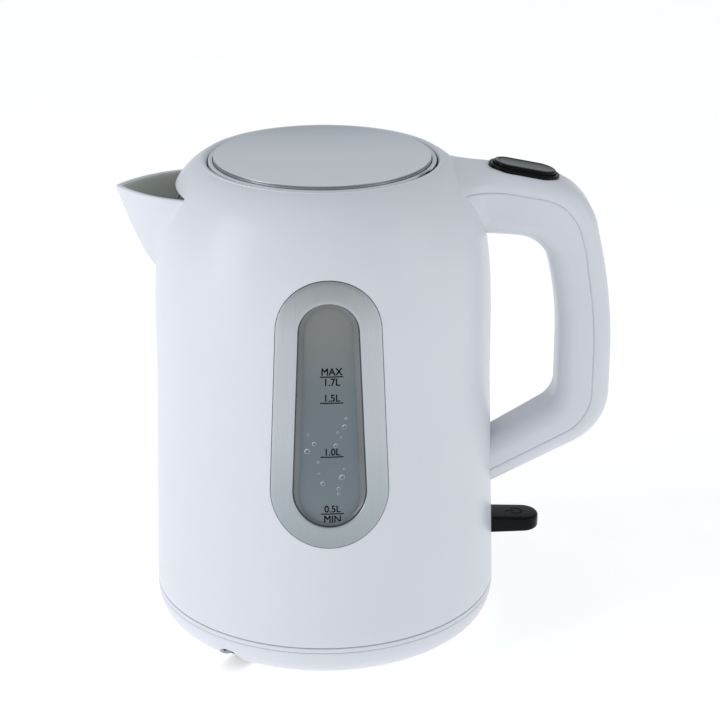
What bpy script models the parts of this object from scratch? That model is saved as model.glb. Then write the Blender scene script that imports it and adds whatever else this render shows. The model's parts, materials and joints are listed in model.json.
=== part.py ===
"""Cordless electric kettle: a plastic jug of 1.7 litres on a separate 360 degree power base.

Frame: +Z up, origin under the middle of the whole kettle's outline, on the table.
The spout points to -X, the handle to +X and the water window to -Y.
Shapes are worked out in millimetres round the jug's own vertical axis and stored in metres.
"""

from math import acos, cos, pi, radians, sin, sqrt, tan

import bmesh
import bpy
from mathutils import Matrix, Vector

MM = 0.001
GAP = 0.3

# Whole kettle
SPOUT_REACH = 94.6
HANDLE_REACH = 135.3
AXIS_X = (SPOUT_REACH - HANDLE_REACH) / 2

# Power base
BASE_R = 82.0
BASE_FLAT_R = 55.1
BASE_CORNER_POWER = 3.1
BASE_CORNER_HEIGHT = 19.1
BASE_FLOOR_Z = 0.7
BASE_SEAM_Z = 16.5
BASE_TOP_Z = 18.7
FOOT_RING_R = 58.0
FOOT_R = 6.0
BASE_SCREW_RING_R = 40.0
BASE_SCREW_ANGLES = (90, 210, 330)
FOOT_ANGLES = (45, 135, 225, 315)
CORD_AZIMUTH = radians(234.0)
CORD_NOTCH_W = 12.0
CORD_NOTCH_TOP = 10.5
GROMMET_LOW_Z = 2.0

# Connector between base and jug
TOWER_R = 17.0
TOWER_TOP_Z = 30.0
GROOVE_IN_R = 10.6
GROOVE_OUT_R = 13.6
GROOVE_FLOOR_Z = 17.0
PIN_HOLE_R = 2.6
LIFT_REST_Z = 19.3

# Jug body
BODY_FOOT_R = 82.0
SHOULDER_R = 78.6
SHOULDER_Z = 126.8
MOUTH_R = 52.8
LIP_Z = 228.5
SHOULDER_POWER_R = 1.725
SHOULDER_POWER_Z = 3.82
WALL = 3.0
COLLAR_R = 55.2
COLLAR_BOTTOM_Z = 212.0
LEDGE_R = 72.5
LEDGE_Z = (60.0, 62.5)
BODY_SEGMENTS = 48
JUG_SCREW_RING_R = 75.6
JUG_SCREW_ANGLES = (60, 180, 300)

# Spout: a beak with bowed sides, wider and longer towards its rim
KEEL_FOOT = (77.0, 177.6)
KEEL_TIP_Z = 216.6
KEEL_POWER = 0.7
SPOUT_HALF_W = 26.8
SPOUT_WIDTH_POWER = 0.6
SPOUT_BOW_POWER = 0.88
SPOUT_ROOT = 13.0
SPOUT_WALL = 2.2
SPOUT_TIP_WALL = 2.75
RIM_Z_BODY = 216.1
RIM_Z_TIP = 216.6
SPOUT_HOLE_Z = (185.0, 216.5)
SPOUT_HOLE_HALF_W = (2.5, 21.0)

# Water window
WINDOW_LOW_Z = 96.6
WINDOW_HIGH_Z = 171.3
TRIM_LOW_R = 26.9
TRIM_HIGH_R = 23.5
LENS_LOW_R = 16.8
LENS_HIGH_R = 13.6
RECESS_GAP = 0.45

# Handle
HANDLE_HALF_W = 14.0
HANDLE_WALL = 2.4
HANDLE_SPLIT = 0.64
HANDLE_IN_ROUND = 9.0
HANDLE_OUT_ROUND = 7.0
FLARE_R = 26.0
FLARE_Z = (195.0, 214.0)
FLARE_SINK = 0.4

# Lid
LID_TOP_Z = 229.6
LID_PLATE_R = 49.8
LID_FLANGE_R = 52.2
LID_HINGE = (45.0, 226.5)
LID_KNUCKLE_R = 2.1
LID_PIN_R = 1.2
LID_KNUCKLE_Y = (9.8, 13.0)

# Lid button
BUTTON_X = 92.7
BUTTON_Z = 220.9
BUTTON_TILT = radians(11.5)
BUTTON_LENGTH = 29.5
BUTTON_WIDTH = 15.0
BUTTON_RISE = 2.9

# Power switch
SWITCH_PIVOT = (72.0, 43.8)
SWITCH_TIP_X = 104.6
SWITCH_HALF_W = 8.0
SWITCH_SLOT_BELOW = 7.5
SWITCH_ROOT = 4.9

# Heater and steam path
PLATE_R = 77.0
PLATE_Z = (57.0, 58.0)
ELEMENT_R = 48.0
STEAM_TUBE_X = 62.0
STEAM_TUBE_R = 4.5


# ---------------------------------------------------------------- shape rules

def body_radius(z):
    """Outer radius of the jug's wall at height z."""
    if z <= SHOULDER_Z:
        share = (z - LIFT_REST_Z) / (SHOULDER_Z - LIFT_REST_Z)
        return BODY_FOOT_R + (SHOULDER_R - BODY_FOOT_R) * share
    rise = min((z - SHOULDER_Z) / (LIP_Z - SHOULDER_Z), 1.0)
    inset = (1.0 - rise ** SHOULDER_POWER_Z) ** (1.0 / SHOULDER_POWER_R)
    return MOUTH_R + (SHOULDER_R - MOUTH_R) * inset


def shoulder_curve(mouth_r, top_z, side_r, last_r, steps):
    """Points (r, z) of a superellipse shoulder, from the straight side up to radius last_r."""
    reach = (last_r - mouth_r) / (side_r - mouth_r)
    last_angle = acos(reach ** (SHOULDER_POWER_R / 2))
    points = []
    for i in range(steps + 1):
        angle = last_angle * (i / steps) ** 0.8
        r = mouth_r + (side_r - mouth_r) * cos(angle) ** (2 / SHOULDER_POWER_R)
        z = SHOULDER_Z + (top_z - SHOULDER_Z) * sin(angle) ** (2 / SHOULDER_POWER_Z)
        points.append((r, z))
    return points


def keel_reach(z):
    """Distance of the spout's keel from the jug's axis at height z."""
    share = (z - KEEL_FOOT[1]) / (KEEL_TIP_Z - KEEL_FOOT[1])
    share = min(max(share, 0.0), 1.0)
    return KEEL_FOOT[0] + (SPOUT_REACH - KEEL_FOOT[0]) * share ** KEEL_POWER


def arc(centre, radius, start, end, steps):
    """Points on an arc in a plane, angles in degrees, both ends included."""
    points = []
    for i in range(steps + 1):
        angle = radians(start + (end - start) * i / steps)
        points.append((centre[0] + radius * cos(angle), centre[1] + radius * sin(angle)))
    return points


def fillet_path(corners, steps):
    """A polyline whose inner corners (x, z, radius) are rounded by arcs of the given steps."""
    points = [corners[0][:2]]
    for before, corner, after in zip(corners, corners[1:], corners[2:]):
        here = Vector(corner[:2])
        back = (Vector(before[:2]) - here).normalized()
        ahead = (Vector(after[:2]) - here).normalized()
        half = acos(max(-1.0, min(1.0, back.dot(ahead)))) / 2
        radius = corner[2]
        centre = here + (back + ahead).normalized() * (radius / sin(half))
        first = here + back * (radius / tan(half)) - centre
        last = here + ahead * (radius / tan(half)) - centre
        turn = first.angle_signed(last)
        for i in range(steps + 1):
            spoke = first.copy()
            spoke.rotate(Matrix.Rotation(-turn * i / steps, 2))
            points.append(tuple(centre + spoke))
    points.append(corners[-1][:2])
    return points


def stadium_half_width(z, low_r, high_r, grow=0.0):
    """Half width at height z of the window's upright oval, grown by a margin."""
    low_r += grow
    high_r += grow
    if z < WINDOW_LOW_Z:
        return sqrt(max(0.0, low_r ** 2 - (z - WINDOW_LOW_Z) ** 2))
    if z > WINDOW_HIGH_Z:
        return sqrt(max(0.0, high_r ** 2 - (z - WINDOW_HIGH_Z) ** 2))
    share = (z - WINDOW_LOW_Z) / (WINDOW_HIGH_Z - WINDOW_LOW_Z)
    return low_r + (high_r - low_r) * share


def stadium_outline(low_r, high_r, grow, steps):
    """The window's upright oval as points (s, z), s being the distance round the wall."""
    lower = arc((0.0, WINDOW_LOW_Z), low_r + grow, 180.0, 360.0, steps)
    upper = arc((0.0, WINDOW_HIGH_Z), high_r + grow, 0.0, 180.0, steps)
    middle_z = (WINDOW_LOW_Z + WINDOW_HIGH_Z) / 2
    middle = (low_r + high_r) / 2 + grow
    return lower + [(middle, middle_z)] + upper + [(-middle, middle_z)]


def oblong_outline(length, width, steps):
    """A flat oblong with round ends, centred on the origin."""
    radius = width / 2
    reach = (length - width) / 2
    right = arc((reach, 0.0), radius, -90.0, 90.0, steps)
    left = arc((-reach, 0.0), radius, 90.0, 270.0, steps)
    return right + left


def wall_point(azimuth, s, z, depth):
    """A point depth outside the jug's wall, s round it from the azimuth, at height z."""
    surface = body_radius(z)
    angle = azimuth + s / surface
    r = surface + depth
    return Vector((r * cos(angle), r * sin(angle), z))


# ---------------------------------------------------------------- mesh helpers

def add_ring(mesh, points):
    return [mesh.verts.new(Vector(p) * MM) for p in points]


def bridge(mesh, ring, following):
    count = len(ring)
    for i in range(count):
        j = (i + 1) % count
        mesh.faces.new((ring[i], ring[j], following[j], following[i]))


def loft(rings, closed=False):
    """A solid through rings of equally many points, with its ends capped unless closed."""
    mesh = bmesh.new()
    made = [add_ring(mesh, ring) for ring in rings]
    for ring, following in zip(made, made[1:]):
        bridge(mesh, ring, following)
    if closed:
        bridge(mesh, made[-1], made[0])
    else:
        mesh.faces.new(made[0])
        mesh.faces.new(made[-1])
    return mesh


def revolve(profile, segments=48, centre=(0.0, 0.0), start=0.0, turn=360.0):
    """A solid of revolution about a vertical axis, from a closed outline of (r, z) points."""
    full = turn >= 360.0
    rings = []
    for i in range(segments if full else segments + 1):
        angle = radians(start + turn * i / segments)
        ring = [(centre[0] + r * cos(angle), centre[1] + r * sin(angle), z) for r, z in profile]
        rings.append(ring)
    mesh = loft(rings, closed=full)
    bmesh.ops.remove_doubles(mesh, verts=mesh.verts, dist=1e-7)
    bmesh.ops.delete(mesh, geom=[e for e in mesh.edges if not e.link_faces], context="EDGES")
    return mesh


def cylinder(radius, low, high, centre=(0.0, 0.0), segments=24):
    return revolve([(0, low), (radius, low), (radius, high), (0, high)], segments, centre)


def tube(inner, outer, low, high, centre=(0.0, 0.0), segments=24):
    return revolve([(inner, low), (outer, low), (outer, high), (inner, high)], segments, centre)


def block(low, high):
    """A box between two corners."""
    (x0, y0, z0), (x1, y1, z1) = low, high
    bottom = [(x0, y0, z0), (x1, y0, z0), (x1, y1, z0), (x0, y1, z0)]
    top = [(x, y, z1) for x, y, _ in bottom]
    return loft([bottom, top])


def plate_xz(outline, y0, y1):
    """A plate whose outline is drawn in X and Z, between two y values."""
    return loft([[(x, y0, z) for x, z in outline], [(x, y1, z) for x, z in outline]])


def rod_y(centre, radius, y0, y1, segments=14):
    return plate_xz(arc(centre, radius, 0.0, 360.0 - 360.0 / segments, segments - 1), y0, y1)


def wall_panel(azimuth, half_width, heights, back, front, columns):
    """A panel curved with the jug's wall, between two depths measured from its surface."""
    rings = []
    for z in heights:
        span = [half_width(z) * (2 * i / columns - 1) for i in range(columns + 1)]
        outer = [wall_point(azimuth, s, z, front) for s in span]
        inner = [wall_point(azimuth, s, z, back) for s in reversed(span)]
        rings.append(outer + inner)
    return loft(rings)


def wall_ring(azimuth, outer_outline, inner_outline, back, front):
    """A frame curved with the jug's wall, between two outlines of (s, z) points."""
    rings = []
    for (s_out, z_out), (s_in, z_in) in zip(outer_outline, inner_outline):
        middle = ((s_out + s_in) / 2, (z_out + z_in) / 2)
        rings.append([
            wall_point(azimuth, s_out, z_out, back),
            wall_point(azimuth, s_out, z_out, front - 0.3),
            wall_point(azimuth, s_out * 0.995, z_out, front),
            wall_point(azimuth, middle[0], middle[1], front),
            wall_point(azimuth, s_in, z_in, front),
            wall_point(azimuth, s_in, z_in, back),
            wall_point(azimuth, middle[0], middle[1], back),
        ])
    return loft(rings, closed=True)


def coil(centre, radius, wire, length, turns, axis, sides=6, steps=14):
    """A helical spring whose ends are capped, along the axis from the centre."""
    across = Vector((0, 1, 0)) if abs(axis.y) < 0.5 else Vector((1, 0, 0))
    side = axis.cross(across).normalized()
    across = side.cross(axis).normalized()
    total = turns * steps
    rings = []
    for i in range(total + 1):
        angle = 2 * pi * i / steps
        out = side * cos(angle) + across * sin(angle)
        middle = centre + axis * (length * i / total) + out * radius
        ring = []
        for k in range(sides):
            around = 2 * pi * k / sides
            ring.append(middle + out * (wire * cos(around)) + axis * (wire * sin(around)))
        rings.append(ring)
    return loft(rings)


def spiral_of(points, radius, sides):
    """A round bar along a planar path that stays level."""
    rings = []
    for i, (x, y, z) in enumerate(points):
        before = Vector(points[max(i - 1, 0)])
        after = Vector(points[min(i + 1, len(points) - 1)])
        along = (after - before).normalized()
        side = along.cross(Vector((0, 0, 1)))
        ring = []
        for k in range(sides):
            around = 2 * pi * k / sides
            ring.append(Vector((x, y, z)) + side * (radius * cos(around))
                        + Vector((0, 0, radius * sin(around))))
        rings.append(ring)
    return loft(rings)


# ---------------------------------------------------------------- objects and materials

def clear_scene():
    for item in list(bpy.data.objects):
        bpy.data.objects.remove(item, do_unlink=True)


def material(name, colour, roughness, metallic=0.0, alpha=1.0):
    made = bpy.data.materials.get(name)
    if made is None:
        made = bpy.data.materials.new(name)
        made.use_nodes = True
        shader = made.node_tree.nodes["Principled BSDF"]
        shader.inputs["Base Color"].default_value = (*colour, 1.0)
        shader.inputs["Roughness"].default_value = roughness
        shader.inputs["Metallic"].default_value = metallic
        shader.inputs["Alpha"].default_value = alpha
        made.diffuse_color = (*colour, alpha)
    return made


def white_plastic():
    return material("white_plastic", (0.83, 0.85, 0.88), 0.3)


def black_plastic():
    return material("black_plastic", (0.012, 0.012, 0.014), 0.22)


def grey_plastic():
    return material("grey_plastic", (0.3, 0.31, 0.32), 0.5)


def smoke_plastic():
    return material("smoke_plastic", (0.32, 0.33, 0.33), 0.12, alpha=0.6)


def brushed_steel():
    return material("brushed_steel", (0.56, 0.57, 0.58), 0.38, metallic=1.0)


def silver_trim():
    return material("silver_trim", (0.58, 0.59, 0.6), 0.42, metallic=0.9)


def aluminium():
    return material("aluminium", (0.66, 0.67, 0.68), 0.45, metallic=1.0)


def brass():
    return material("brass", (0.66, 0.5, 0.22), 0.35, metallic=1.0)


def silicone():
    return material("silicone", (0.72, 0.72, 0.7), 0.6)


def rubber():
    return material("rubber", (0.04, 0.04, 0.042), 0.8)


def empty(name, x, z, parent, tilt=0.0):
    """A frame in the jug's middle plane, at x and z relative to its parent."""
    made = bpy.data.objects.new(name, None)
    bpy.context.scene.collection.objects.link(made)
    made.location = Vector((x, 0.0, z)) * MM
    made.rotation_euler = (0.0, tilt, 0.0)
    made.parent = parent
    return made


def solid(name, mesh, finish, parent, origin=(0.0, 0.0, 0.0), smooth=32.0):
    """Turn a mesh drawn round the jug's axis into an object whose own origin is on its parent."""
    bmesh.ops.translate(mesh, verts=mesh.verts, vec=-Vector(origin) * MM)
    bmesh.ops.recalc_face_normals(mesh, faces=mesh.faces)
    data = bpy.data.meshes.new(name)
    mesh.to_mesh(data)
    mesh.free()
    data.shade_smooth()
    data.set_sharp_from_angle(angle=radians(smooth))
    if finish is not None:
        data.materials.append(finish)
    made = bpy.data.objects.new(name, data)
    bpy.context.scene.collection.objects.link(made)
    made.parent = parent
    return made


def combine(target, mesh, operation, parent, origin=(0.0, 0.0, 0.0)):
    """Cut a guide solid out of the target, or join it on, with an exact Boolean."""
    count = sum(1 for m in target.modifiers if m.type == "BOOLEAN")
    guide = solid(f"{target.name}_tool_{count + 1}", mesh, None, parent, origin)
    guide.hide_render = True
    guide.display_type = "WIRE"
    step = target.modifiers.new(f"{operation.lower()}_{count + 1}", "BOOLEAN")
    step.operation = operation
    step.solver = "EXACT"
    step.object = guide
    return guide


def cut(target, mesh, parent, origin=(0.0, 0.0, 0.0)):
    return combine(target, mesh, "DIFFERENCE", parent, origin)


def join(target, mesh, parent, origin=(0.0, 0.0, 0.0)):
    return combine(target, mesh, "UNION", parent, origin)


def on_circle(radius, degrees):
    return (radius * cos(radians(degrees)), radius * sin(radians(degrees)))


# ---------------------------------------------------------------- power base

def tray_outline():
    """Outer corner of the tray: from its flat floor round to its upright rim."""
    points = [(0.0, BASE_FLOOR_Z), (BASE_FLAT_R, BASE_FLOOR_Z)]
    width = BASE_R - BASE_FLAT_R
    for degrees in (72, 58, 46, 34, 20):
        angle = radians(degrees)
        r = BASE_FLAT_R + width * cos(angle) ** (2 / BASE_CORNER_POWER)
        drop = BASE_CORNER_HEIGHT * sin(angle) ** (2 / BASE_CORNER_POWER)
        points.append((r, BASE_FLOOR_Z + BASE_CORNER_HEIGHT - drop))
    points.append((BASE_R - 0.05, BASE_SEAM_Z - 0.8))
    points.append((BASE_R - 0.4, BASE_SEAM_Z - 0.2))
    return points


def radial_prism(outline, near, far, azimuth):
    """Extrude an outline of (across, z) points along a horizontal radius."""
    ahead = Vector((cos(azimuth), sin(azimuth), 0.0))
    across = Vector((-sin(azimuth), cos(azimuth), 0.0))
    rings = []
    for r in (near, far):
        rings.append([ahead * r + across * a + Vector((0.0, 0.0, z)) for a, z in outline])
    return loft(rings)


def arch_outline(width, low, top, steps=8):
    """A doorway: upright sides and a flat-arched head."""
    half = width / 2
    head = [(half * cos(radians(a)), top - 4.0 + 4.0 * sin(radians(a)))
            for a in [180.0 * i / steps for i in range(steps + 1)]]
    return [(half, low)] + head + [(-half, low)]


def base_tray(frame):
    inner = [(79.4, BASE_SEAM_Z - 0.2), (79.4, 10.5), (75.8, 5.4), (69.0, 3.3), (0.0, 3.3)]
    tray = solid("base_tray", revolve(tray_outline() + inner, 40), white_plastic(), frame)
    notch = arch_outline(CORD_NOTCH_W, -2.0, CORD_NOTCH_TOP)
    cut(tray, radial_prism(notch, 64.0, 86.0, CORD_AZIMUTH), frame)
    for degrees in FOOT_ANGLES:
        spot = on_circle(FOOT_RING_R, degrees)
        cut(tray, cylinder(FOOT_R + 2 * GAP, -1.0, 2.1, spot, 16), frame)
    for degrees in BASE_SCREW_ANGLES:
        spot = on_circle(BASE_SCREW_RING_R, degrees)
        cut(tray, revolve([(0, -1), (3.4, -1), (3.4, 2.2), (2.0, 2.2), (2.0, 5), (0, 5)], 12, spot),
            frame)
    return tray


def base_top_cover(frame):
    profile = [
        (TOWER_R + 0.4, 16.2), (TOWER_R + 0.4, BASE_TOP_Z - 0.3), (77.5, BASE_TOP_Z - 0.3),
        (81.2, BASE_TOP_Z), (BASE_R, BASE_TOP_Z - 0.8), (BASE_R, BASE_SEAM_Z + 0.6),
        (79.0, BASE_SEAM_Z + 0.2), (79.0, 13.6), (77.2, 13.6), (77.2, 16.2),
    ]
    cover = solid("base_top_cover", revolve(profile, 40), white_plastic(), frame)
    for degrees in BASE_SCREW_ANGLES:
        spot = on_circle(BASE_SCREW_RING_R, degrees)
        join(cover, cylinder(4.2, 3.7, 17.0, spot, 12), frame)
    for degrees in BASE_SCREW_ANGLES:
        spot = on_circle(BASE_SCREW_RING_R, degrees)
        cut(cover, cylinder(1.8, 2.0, 13.0, spot, 10), frame)
    return cover


def base_socket(frame):
    profile = [
        (0, 12.2), (24, 12.2), (24, 15.6), (TOWER_R, 15.6), (TOWER_R, TOWER_TOP_Z - 1.0),
        (TOWER_R - 1.0, TOWER_TOP_Z), (GROOVE_OUT_R, TOWER_TOP_Z), (GROOVE_OUT_R, GROOVE_FLOOR_Z),
        (GROOVE_IN_R, GROOVE_FLOOR_Z), (GROOVE_IN_R, 28.4), (GROOVE_IN_R - 0.6, 29.0),
        (PIN_HOLE_R, 29.0), (PIN_HOLE_R, 15.2), (0, 15.2),
    ]
    return solid("base_socket", revolve(profile, 28), black_plastic(), frame)


def base_contact(frame, name, degrees, reach):
    """A sprung brass strip that runs out from under the tower and down to the tray."""
    outline = [
        (3.0, 11.9), (3.0, 11.3), (reach, 11.3), (reach + 5.0, 6.0), (reach + 11.0, 6.0),
        (reach + 11.0, 6.6), (reach + 5.3, 6.6), (reach + 0.3, 11.9),
    ]
    ahead = Vector((*on_circle(1.0, degrees), 0.0))
    side = Vector((-ahead.y, ahead.x, 0.0))
    rings = []
    for shift in (-2.2, 2.2):
        rings.append([ahead * r + side * shift + Vector((0.0, 0.0, z)) for r, z in outline])
    return solid(name, loft(rings), brass(), frame)


def base_foot(frame, name, degrees):
    spot = on_circle(FOOT_RING_R, degrees)
    profile = [(0, 0), (FOOT_R - 0.6, 0), (FOOT_R, 0.6), (FOOT_R, 1.8), (0, 1.8)]
    return solid(name, revolve(profile, 16, spot), rubber(), frame)


def screw(frame, name, spot, low, top, head_r=2.8, shank_r=1.4):
    """A pan-head screw driven upwards, with a cross recess left to the finish."""
    profile = [
        (0, low), (head_r - 0.4, low), (head_r, low + 0.4), (head_r, low + 1.0),
        (shank_r, low + 1.0), (shank_r, top - 1.0), (0, top),
    ]
    return solid(name, revolve(profile, 8, spot), brushed_steel(), frame)


def cord_inlet_grommet(frame):
    width = CORD_NOTCH_W - 2 * GAP
    outer = arch_outline(width, GROMMET_LOW_Z, CORD_NOTCH_TOP - GAP)
    inner = arch_outline(width - 3.2, GROMMET_LOW_Z, CORD_NOTCH_TOP - GAP - 1.6)
    sleeve = radial_prism(outer + list(reversed(inner)), 64.5, 70.6, CORD_AZIMUTH)
    return solid("cord_inlet_grommet", sleeve, rubber(), frame)


def build_base(frame):
    base_tray(frame)
    base_top_cover(frame)
    base_socket(frame)
    base_contact(frame, "base_contact_live", 30, 14.0)
    base_contact(frame, "base_contact_neutral", 150, 14.0)
    base_contact(frame, "base_contact_earth", 270, 16.0)
    for i, degrees in enumerate(FOOT_ANGLES):
        base_foot(frame, f"base_foot_{i + 1}", degrees)
    for i, degrees in enumerate(BASE_SCREW_ANGLES):
        spot = on_circle(BASE_SCREW_RING_R, degrees)
        screw(frame, f"base_screw_{i + 1}", spot, 0.8, 11.0)
    cord_inlet_grommet(frame)


def build_shutter(frame):
    """The ring in the socket's groove: the jug's skirt presses it down and turns it."""
    mesh = tube(GROOVE_IN_R + GAP, GROOVE_OUT_R - GAP, GROOVE_FLOOR_Z + GAP, 19.6, segments=28)
    return solid("socket_shutter", mesh, grey_plastic(), frame)


# ---------------------------------------------------------------- jug body

def shell_profile():
    outer = [(BODY_FOOT_R - 0.8, LIFT_REST_Z), (BODY_FOOT_R - 0.05, LIFT_REST_Z + 0.9)]
    outer += shoulder_curve(MOUTH_R, LIP_Z, SHOULDER_R, MOUTH_R + 2.4, 8)
    lip = [(54.2, LIP_Z - 0.3), (53.3, LIP_Z - 0.6), (MOUTH_R, LIP_Z - 1.4),
           (MOUTH_R, COLLAR_BOTTOM_Z)]
    inner = [(COLLAR_R, COLLAR_BOTTOM_Z)]
    inner += list(reversed(shoulder_curve(MOUTH_R, LIP_Z - 3.2, SHOULDER_R - WALL, COLLAR_R, 5)))
    inner.append((body_radius(LEDGE_Z[1] + 2.0) - WALL, LEDGE_Z[1] + 2.0))
    inner.append((LEDGE_R, LEDGE_Z[1]))
    inner.append((LEDGE_R, LEDGE_Z[0]))
    inner.append((body_radius(LEDGE_Z[0]) - WALL, LEDGE_Z[0]))
    inner.append((BODY_FOOT_R - WALL, LIFT_REST_Z))
    return outer + lip + inner


def cavity_profile(grow=0.0):
    """The space inside the upper jug, up to the mouth, as a solid to cut with."""
    curve = shoulder_curve(MOUTH_R, LIP_Z - 3.2, SHOULDER_R - WALL + grow, COLLAR_R, 5)
    low = [(0.0, 150.0), (body_radius(150.0) - WALL + grow, 150.0)]
    high = [(r, z) for r, z in curve if z > 151.0]
    return low + high + [(COLLAR_R, 236.0), (0.0, 236.0)]


def beak_ring(z, inside):
    """Plan of the spout at height z: two bowed sides that meet in its tip."""
    share = (z - KEEL_FOOT[1]) / (KEEL_TIP_Z - KEEL_FOOT[1])
    half = SPOUT_HALF_W * share ** SPOUT_WIDTH_POWER
    reach = keel_reach(z)
    if inside:
        half -= SPOUT_WALL
        reach -= SPOUT_TIP_WALL
    root = body_radius(z) - SPOUT_ROOT
    side = []
    for step in (0.0, 0.3, 0.5, 0.66, 0.79, 0.89, 0.96):
        side.append((-root - (reach - root) * step, half * (1 - step ** 2) ** SPOUT_BOW_POWER))
    ring = side + [(-reach, 0.0)] + [(x, -y) for x, y in reversed(side)]
    return [(x, y, z) for x, y in ring]


def beak(inside, low, high):
    levels = [low + (KEEL_TIP_Z - low) * (i / 8) for i in range(9)] + [high]
    return loft([beak_ring(z, inside) for z in levels])


def above_rim():
    """Everything over the spout's sloping rim."""
    slope = (RIM_Z_TIP - RIM_Z_BODY) / (SPOUT_REACH - 60.0)
    near_z = RIM_Z_BODY - slope * 30.0
    far_z = RIM_Z_TIP + slope * 10.0
    outline = [(-30.0, near_z), (-SPOUT_REACH - 10.0, far_z), (-SPOUT_REACH - 10.0, 240.0),
               (-30.0, 240.0)]
    return plate_xz(outline, -60.0, 60.0)


def spout_opening_half_width(z):
    """Half width of the hole behind the spout, wider towards its top."""
    low, high = SPOUT_HOLE_Z
    narrow, wide = SPOUT_HOLE_HALF_W
    return narrow + (wide - narrow) * (z - low) / (high - low)


def jug_shell(frame):
    shell = solid("jug_shell", revolve(shell_profile(), BODY_SEGMENTS), white_plastic(), frame)
    spout = join(shell, beak(False, 178.2, 220.0), frame)
    cut(spout, above_rim(), frame)
    cut(spout, beak(True, 181.0, 222.0), frame)
    cut(spout, revolve(cavity_profile(grow=0.5), BODY_SEGMENTS), frame)
    bottom, top = SPOUT_HOLE_Z
    heights = [bottom + (top - bottom) * i / 5 for i in range(6)]
    cut(shell, wall_panel(pi, spout_opening_half_width, heights, -9.0, 2.0, 6), frame)
    window = -pi / 2
    low = WINDOW_LOW_Z
    high = WINDOW_HIGH_Z
    recess = lambda z: stadium_half_width(z, TRIM_LOW_R, TRIM_HIGH_R, RECESS_GAP)
    opening = lambda z: stadium_half_width(z, LENS_LOW_R, LENS_HIGH_R, 2.0)
    rows = oval_heights(low, TRIM_LOW_R + RECESS_GAP, high, TRIM_HIGH_R + RECESS_GAP)
    cut(shell, wall_panel(window, recess, rows, -1.2, 4.0, 6), frame)
    rows = oval_heights(low, LENS_LOW_R + 2.0, high, LENS_HIGH_R + 2.0)
    cut(shell, wall_panel(window, opening, rows, -9.0, 4.0, 4), frame)
    x, z = SWITCH_PIVOT
    half = SWITCH_HALF_W + 0.7
    cut(shell, block((x + 2, -half, z - SWITCH_SLOT_BELOW), (x + 16, half, z + 4.8)), frame)
    cut(shell, block((50.0, -5.0, 208.0), (57.0, 5.0, 222.8)), frame)
    cut(shell, block((60.0, -4.0, 214.8), (76.0, 4.0, 219.0)), frame)
    for degrees in JUG_SCREW_ANGLES:
        spot = on_circle(JUG_SCREW_RING_R, degrees)
        join(shell, cylinder(4.0, 22.9, 40.0, spot, 12), frame)
    for degrees in JUG_SCREW_ANGLES:
        spot = on_circle(JUG_SCREW_RING_R, degrees)
        cut(shell, cylinder(1.6, 20.0, 37.0, spot, 10), frame)
    return shell


def oval_heights(low, low_r, high, high_r):
    """Rows for a panel with round ends, closer together where its ends turn in."""
    below = [low - low_r * cos(radians(a)) for a in (4, 15, 30, 45, 60, 75, 90)]
    above = [high + high_r * sin(radians(a)) for a in (0, 15, 30, 45, 60, 75, 86)]
    return below + [(low + high) / 2] + above


def window_trim(frame):
    outer = stadium_outline(TRIM_LOW_R, TRIM_HIGH_R, 0.0, 12)
    inner = stadium_outline(LENS_LOW_R, LENS_HIGH_R, 0.0, 12)
    return solid("window_trim", wall_ring(-pi / 2, outer, inner, -0.9, 0.35), silver_trim(), frame)


def window_lens(frame):
    width = lambda z: stadium_half_width(z, LENS_LOW_R, LENS_HIGH_R, 1.6)
    rows = oval_heights(WINDOW_LOW_Z, LENS_LOW_R + 1.6, WINDOW_HIGH_Z, LENS_HIGH_R + 1.6)
    return solid("window_lens", wall_panel(-pi / 2, width, rows, -3.8, -1.35, 6),
                 smoke_plastic(), frame)


def window_gasket(frame):
    outer = stadium_outline(LENS_LOW_R, LENS_HIGH_R, 5.4, 8)
    inner = stadium_outline(LENS_LOW_R, LENS_HIGH_R, 2.4, 8)
    return solid("window_gasket", wall_ring(-pi / 2, outer, inner, -5.4, -WALL - 1.4),
                 silicone(), frame)


def spout_filter(frame):
    """A clip-in frame behind the pouring opening, and the fine mesh it holds."""
    bottom, top = SPOUT_HOLE_Z

    def outline(grow):
        low = bottom - 1.0 - grow
        high = top - 1.0 + grow
        rows = [low + (high - low) * i / 6 for i in range(7)]
        right = [(spout_opening_half_width(z) + grow, z) for z in rows]
        return right + [(-s, z) for s, z in reversed(right)]

    rim = wall_ring(pi, outline(3.2), outline(0.2), -WALL - 3.3, -WALL - 1.5)
    solid("spout_filter_frame", rim, white_plastic(), frame)
    rows = [bottom - 0.6 + (top - bottom - 0.8) * i / 6 for i in range(7)]
    width = lambda z: spout_opening_half_width(z) - GAP
    mesh = wall_panel(pi, width, rows, -WALL - 2.6, -WALL - 2.1, 6)
    solid("spout_filter_mesh", mesh, brushed_steel(), frame)


def jug_bottom_cover(frame):
    profile = [
        (78.5, 20.0), (78.5, 22.4), (22.0, 22.4), (22.0, 33.6), (14.6, 33.6), (14.6, 31.6),
        (19.4, 31.6), (19.4, 20.0),
    ]
    cover = solid("jug_bottom_cover", revolve(profile, 40), white_plastic(), frame)
    for degrees in JUG_SCREW_ANGLES:
        spot = on_circle(JUG_SCREW_RING_R, degrees)
        cut(cover, revolve([(0, 18), (3.0, 18), (3.0, 21.5), (1.7, 21.5), (1.7, 24), (0, 24)],
                           10, spot), frame)
    return cover


def jug_connector(frame):
    profile = [
        (0, 18.0), (1.4, 18.0), (2.2, 19.0), (2.2, 34.0), (11.0, 34.0), (11.0, 20.0),
        (13.2, 20.0), (13.2, 34.0), (18.0, 34.0), (18.0, 37.0), (0, 37.0),
    ]
    return solid("jug_connector", revolve(profile, 28), black_plastic(), frame)


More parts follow.
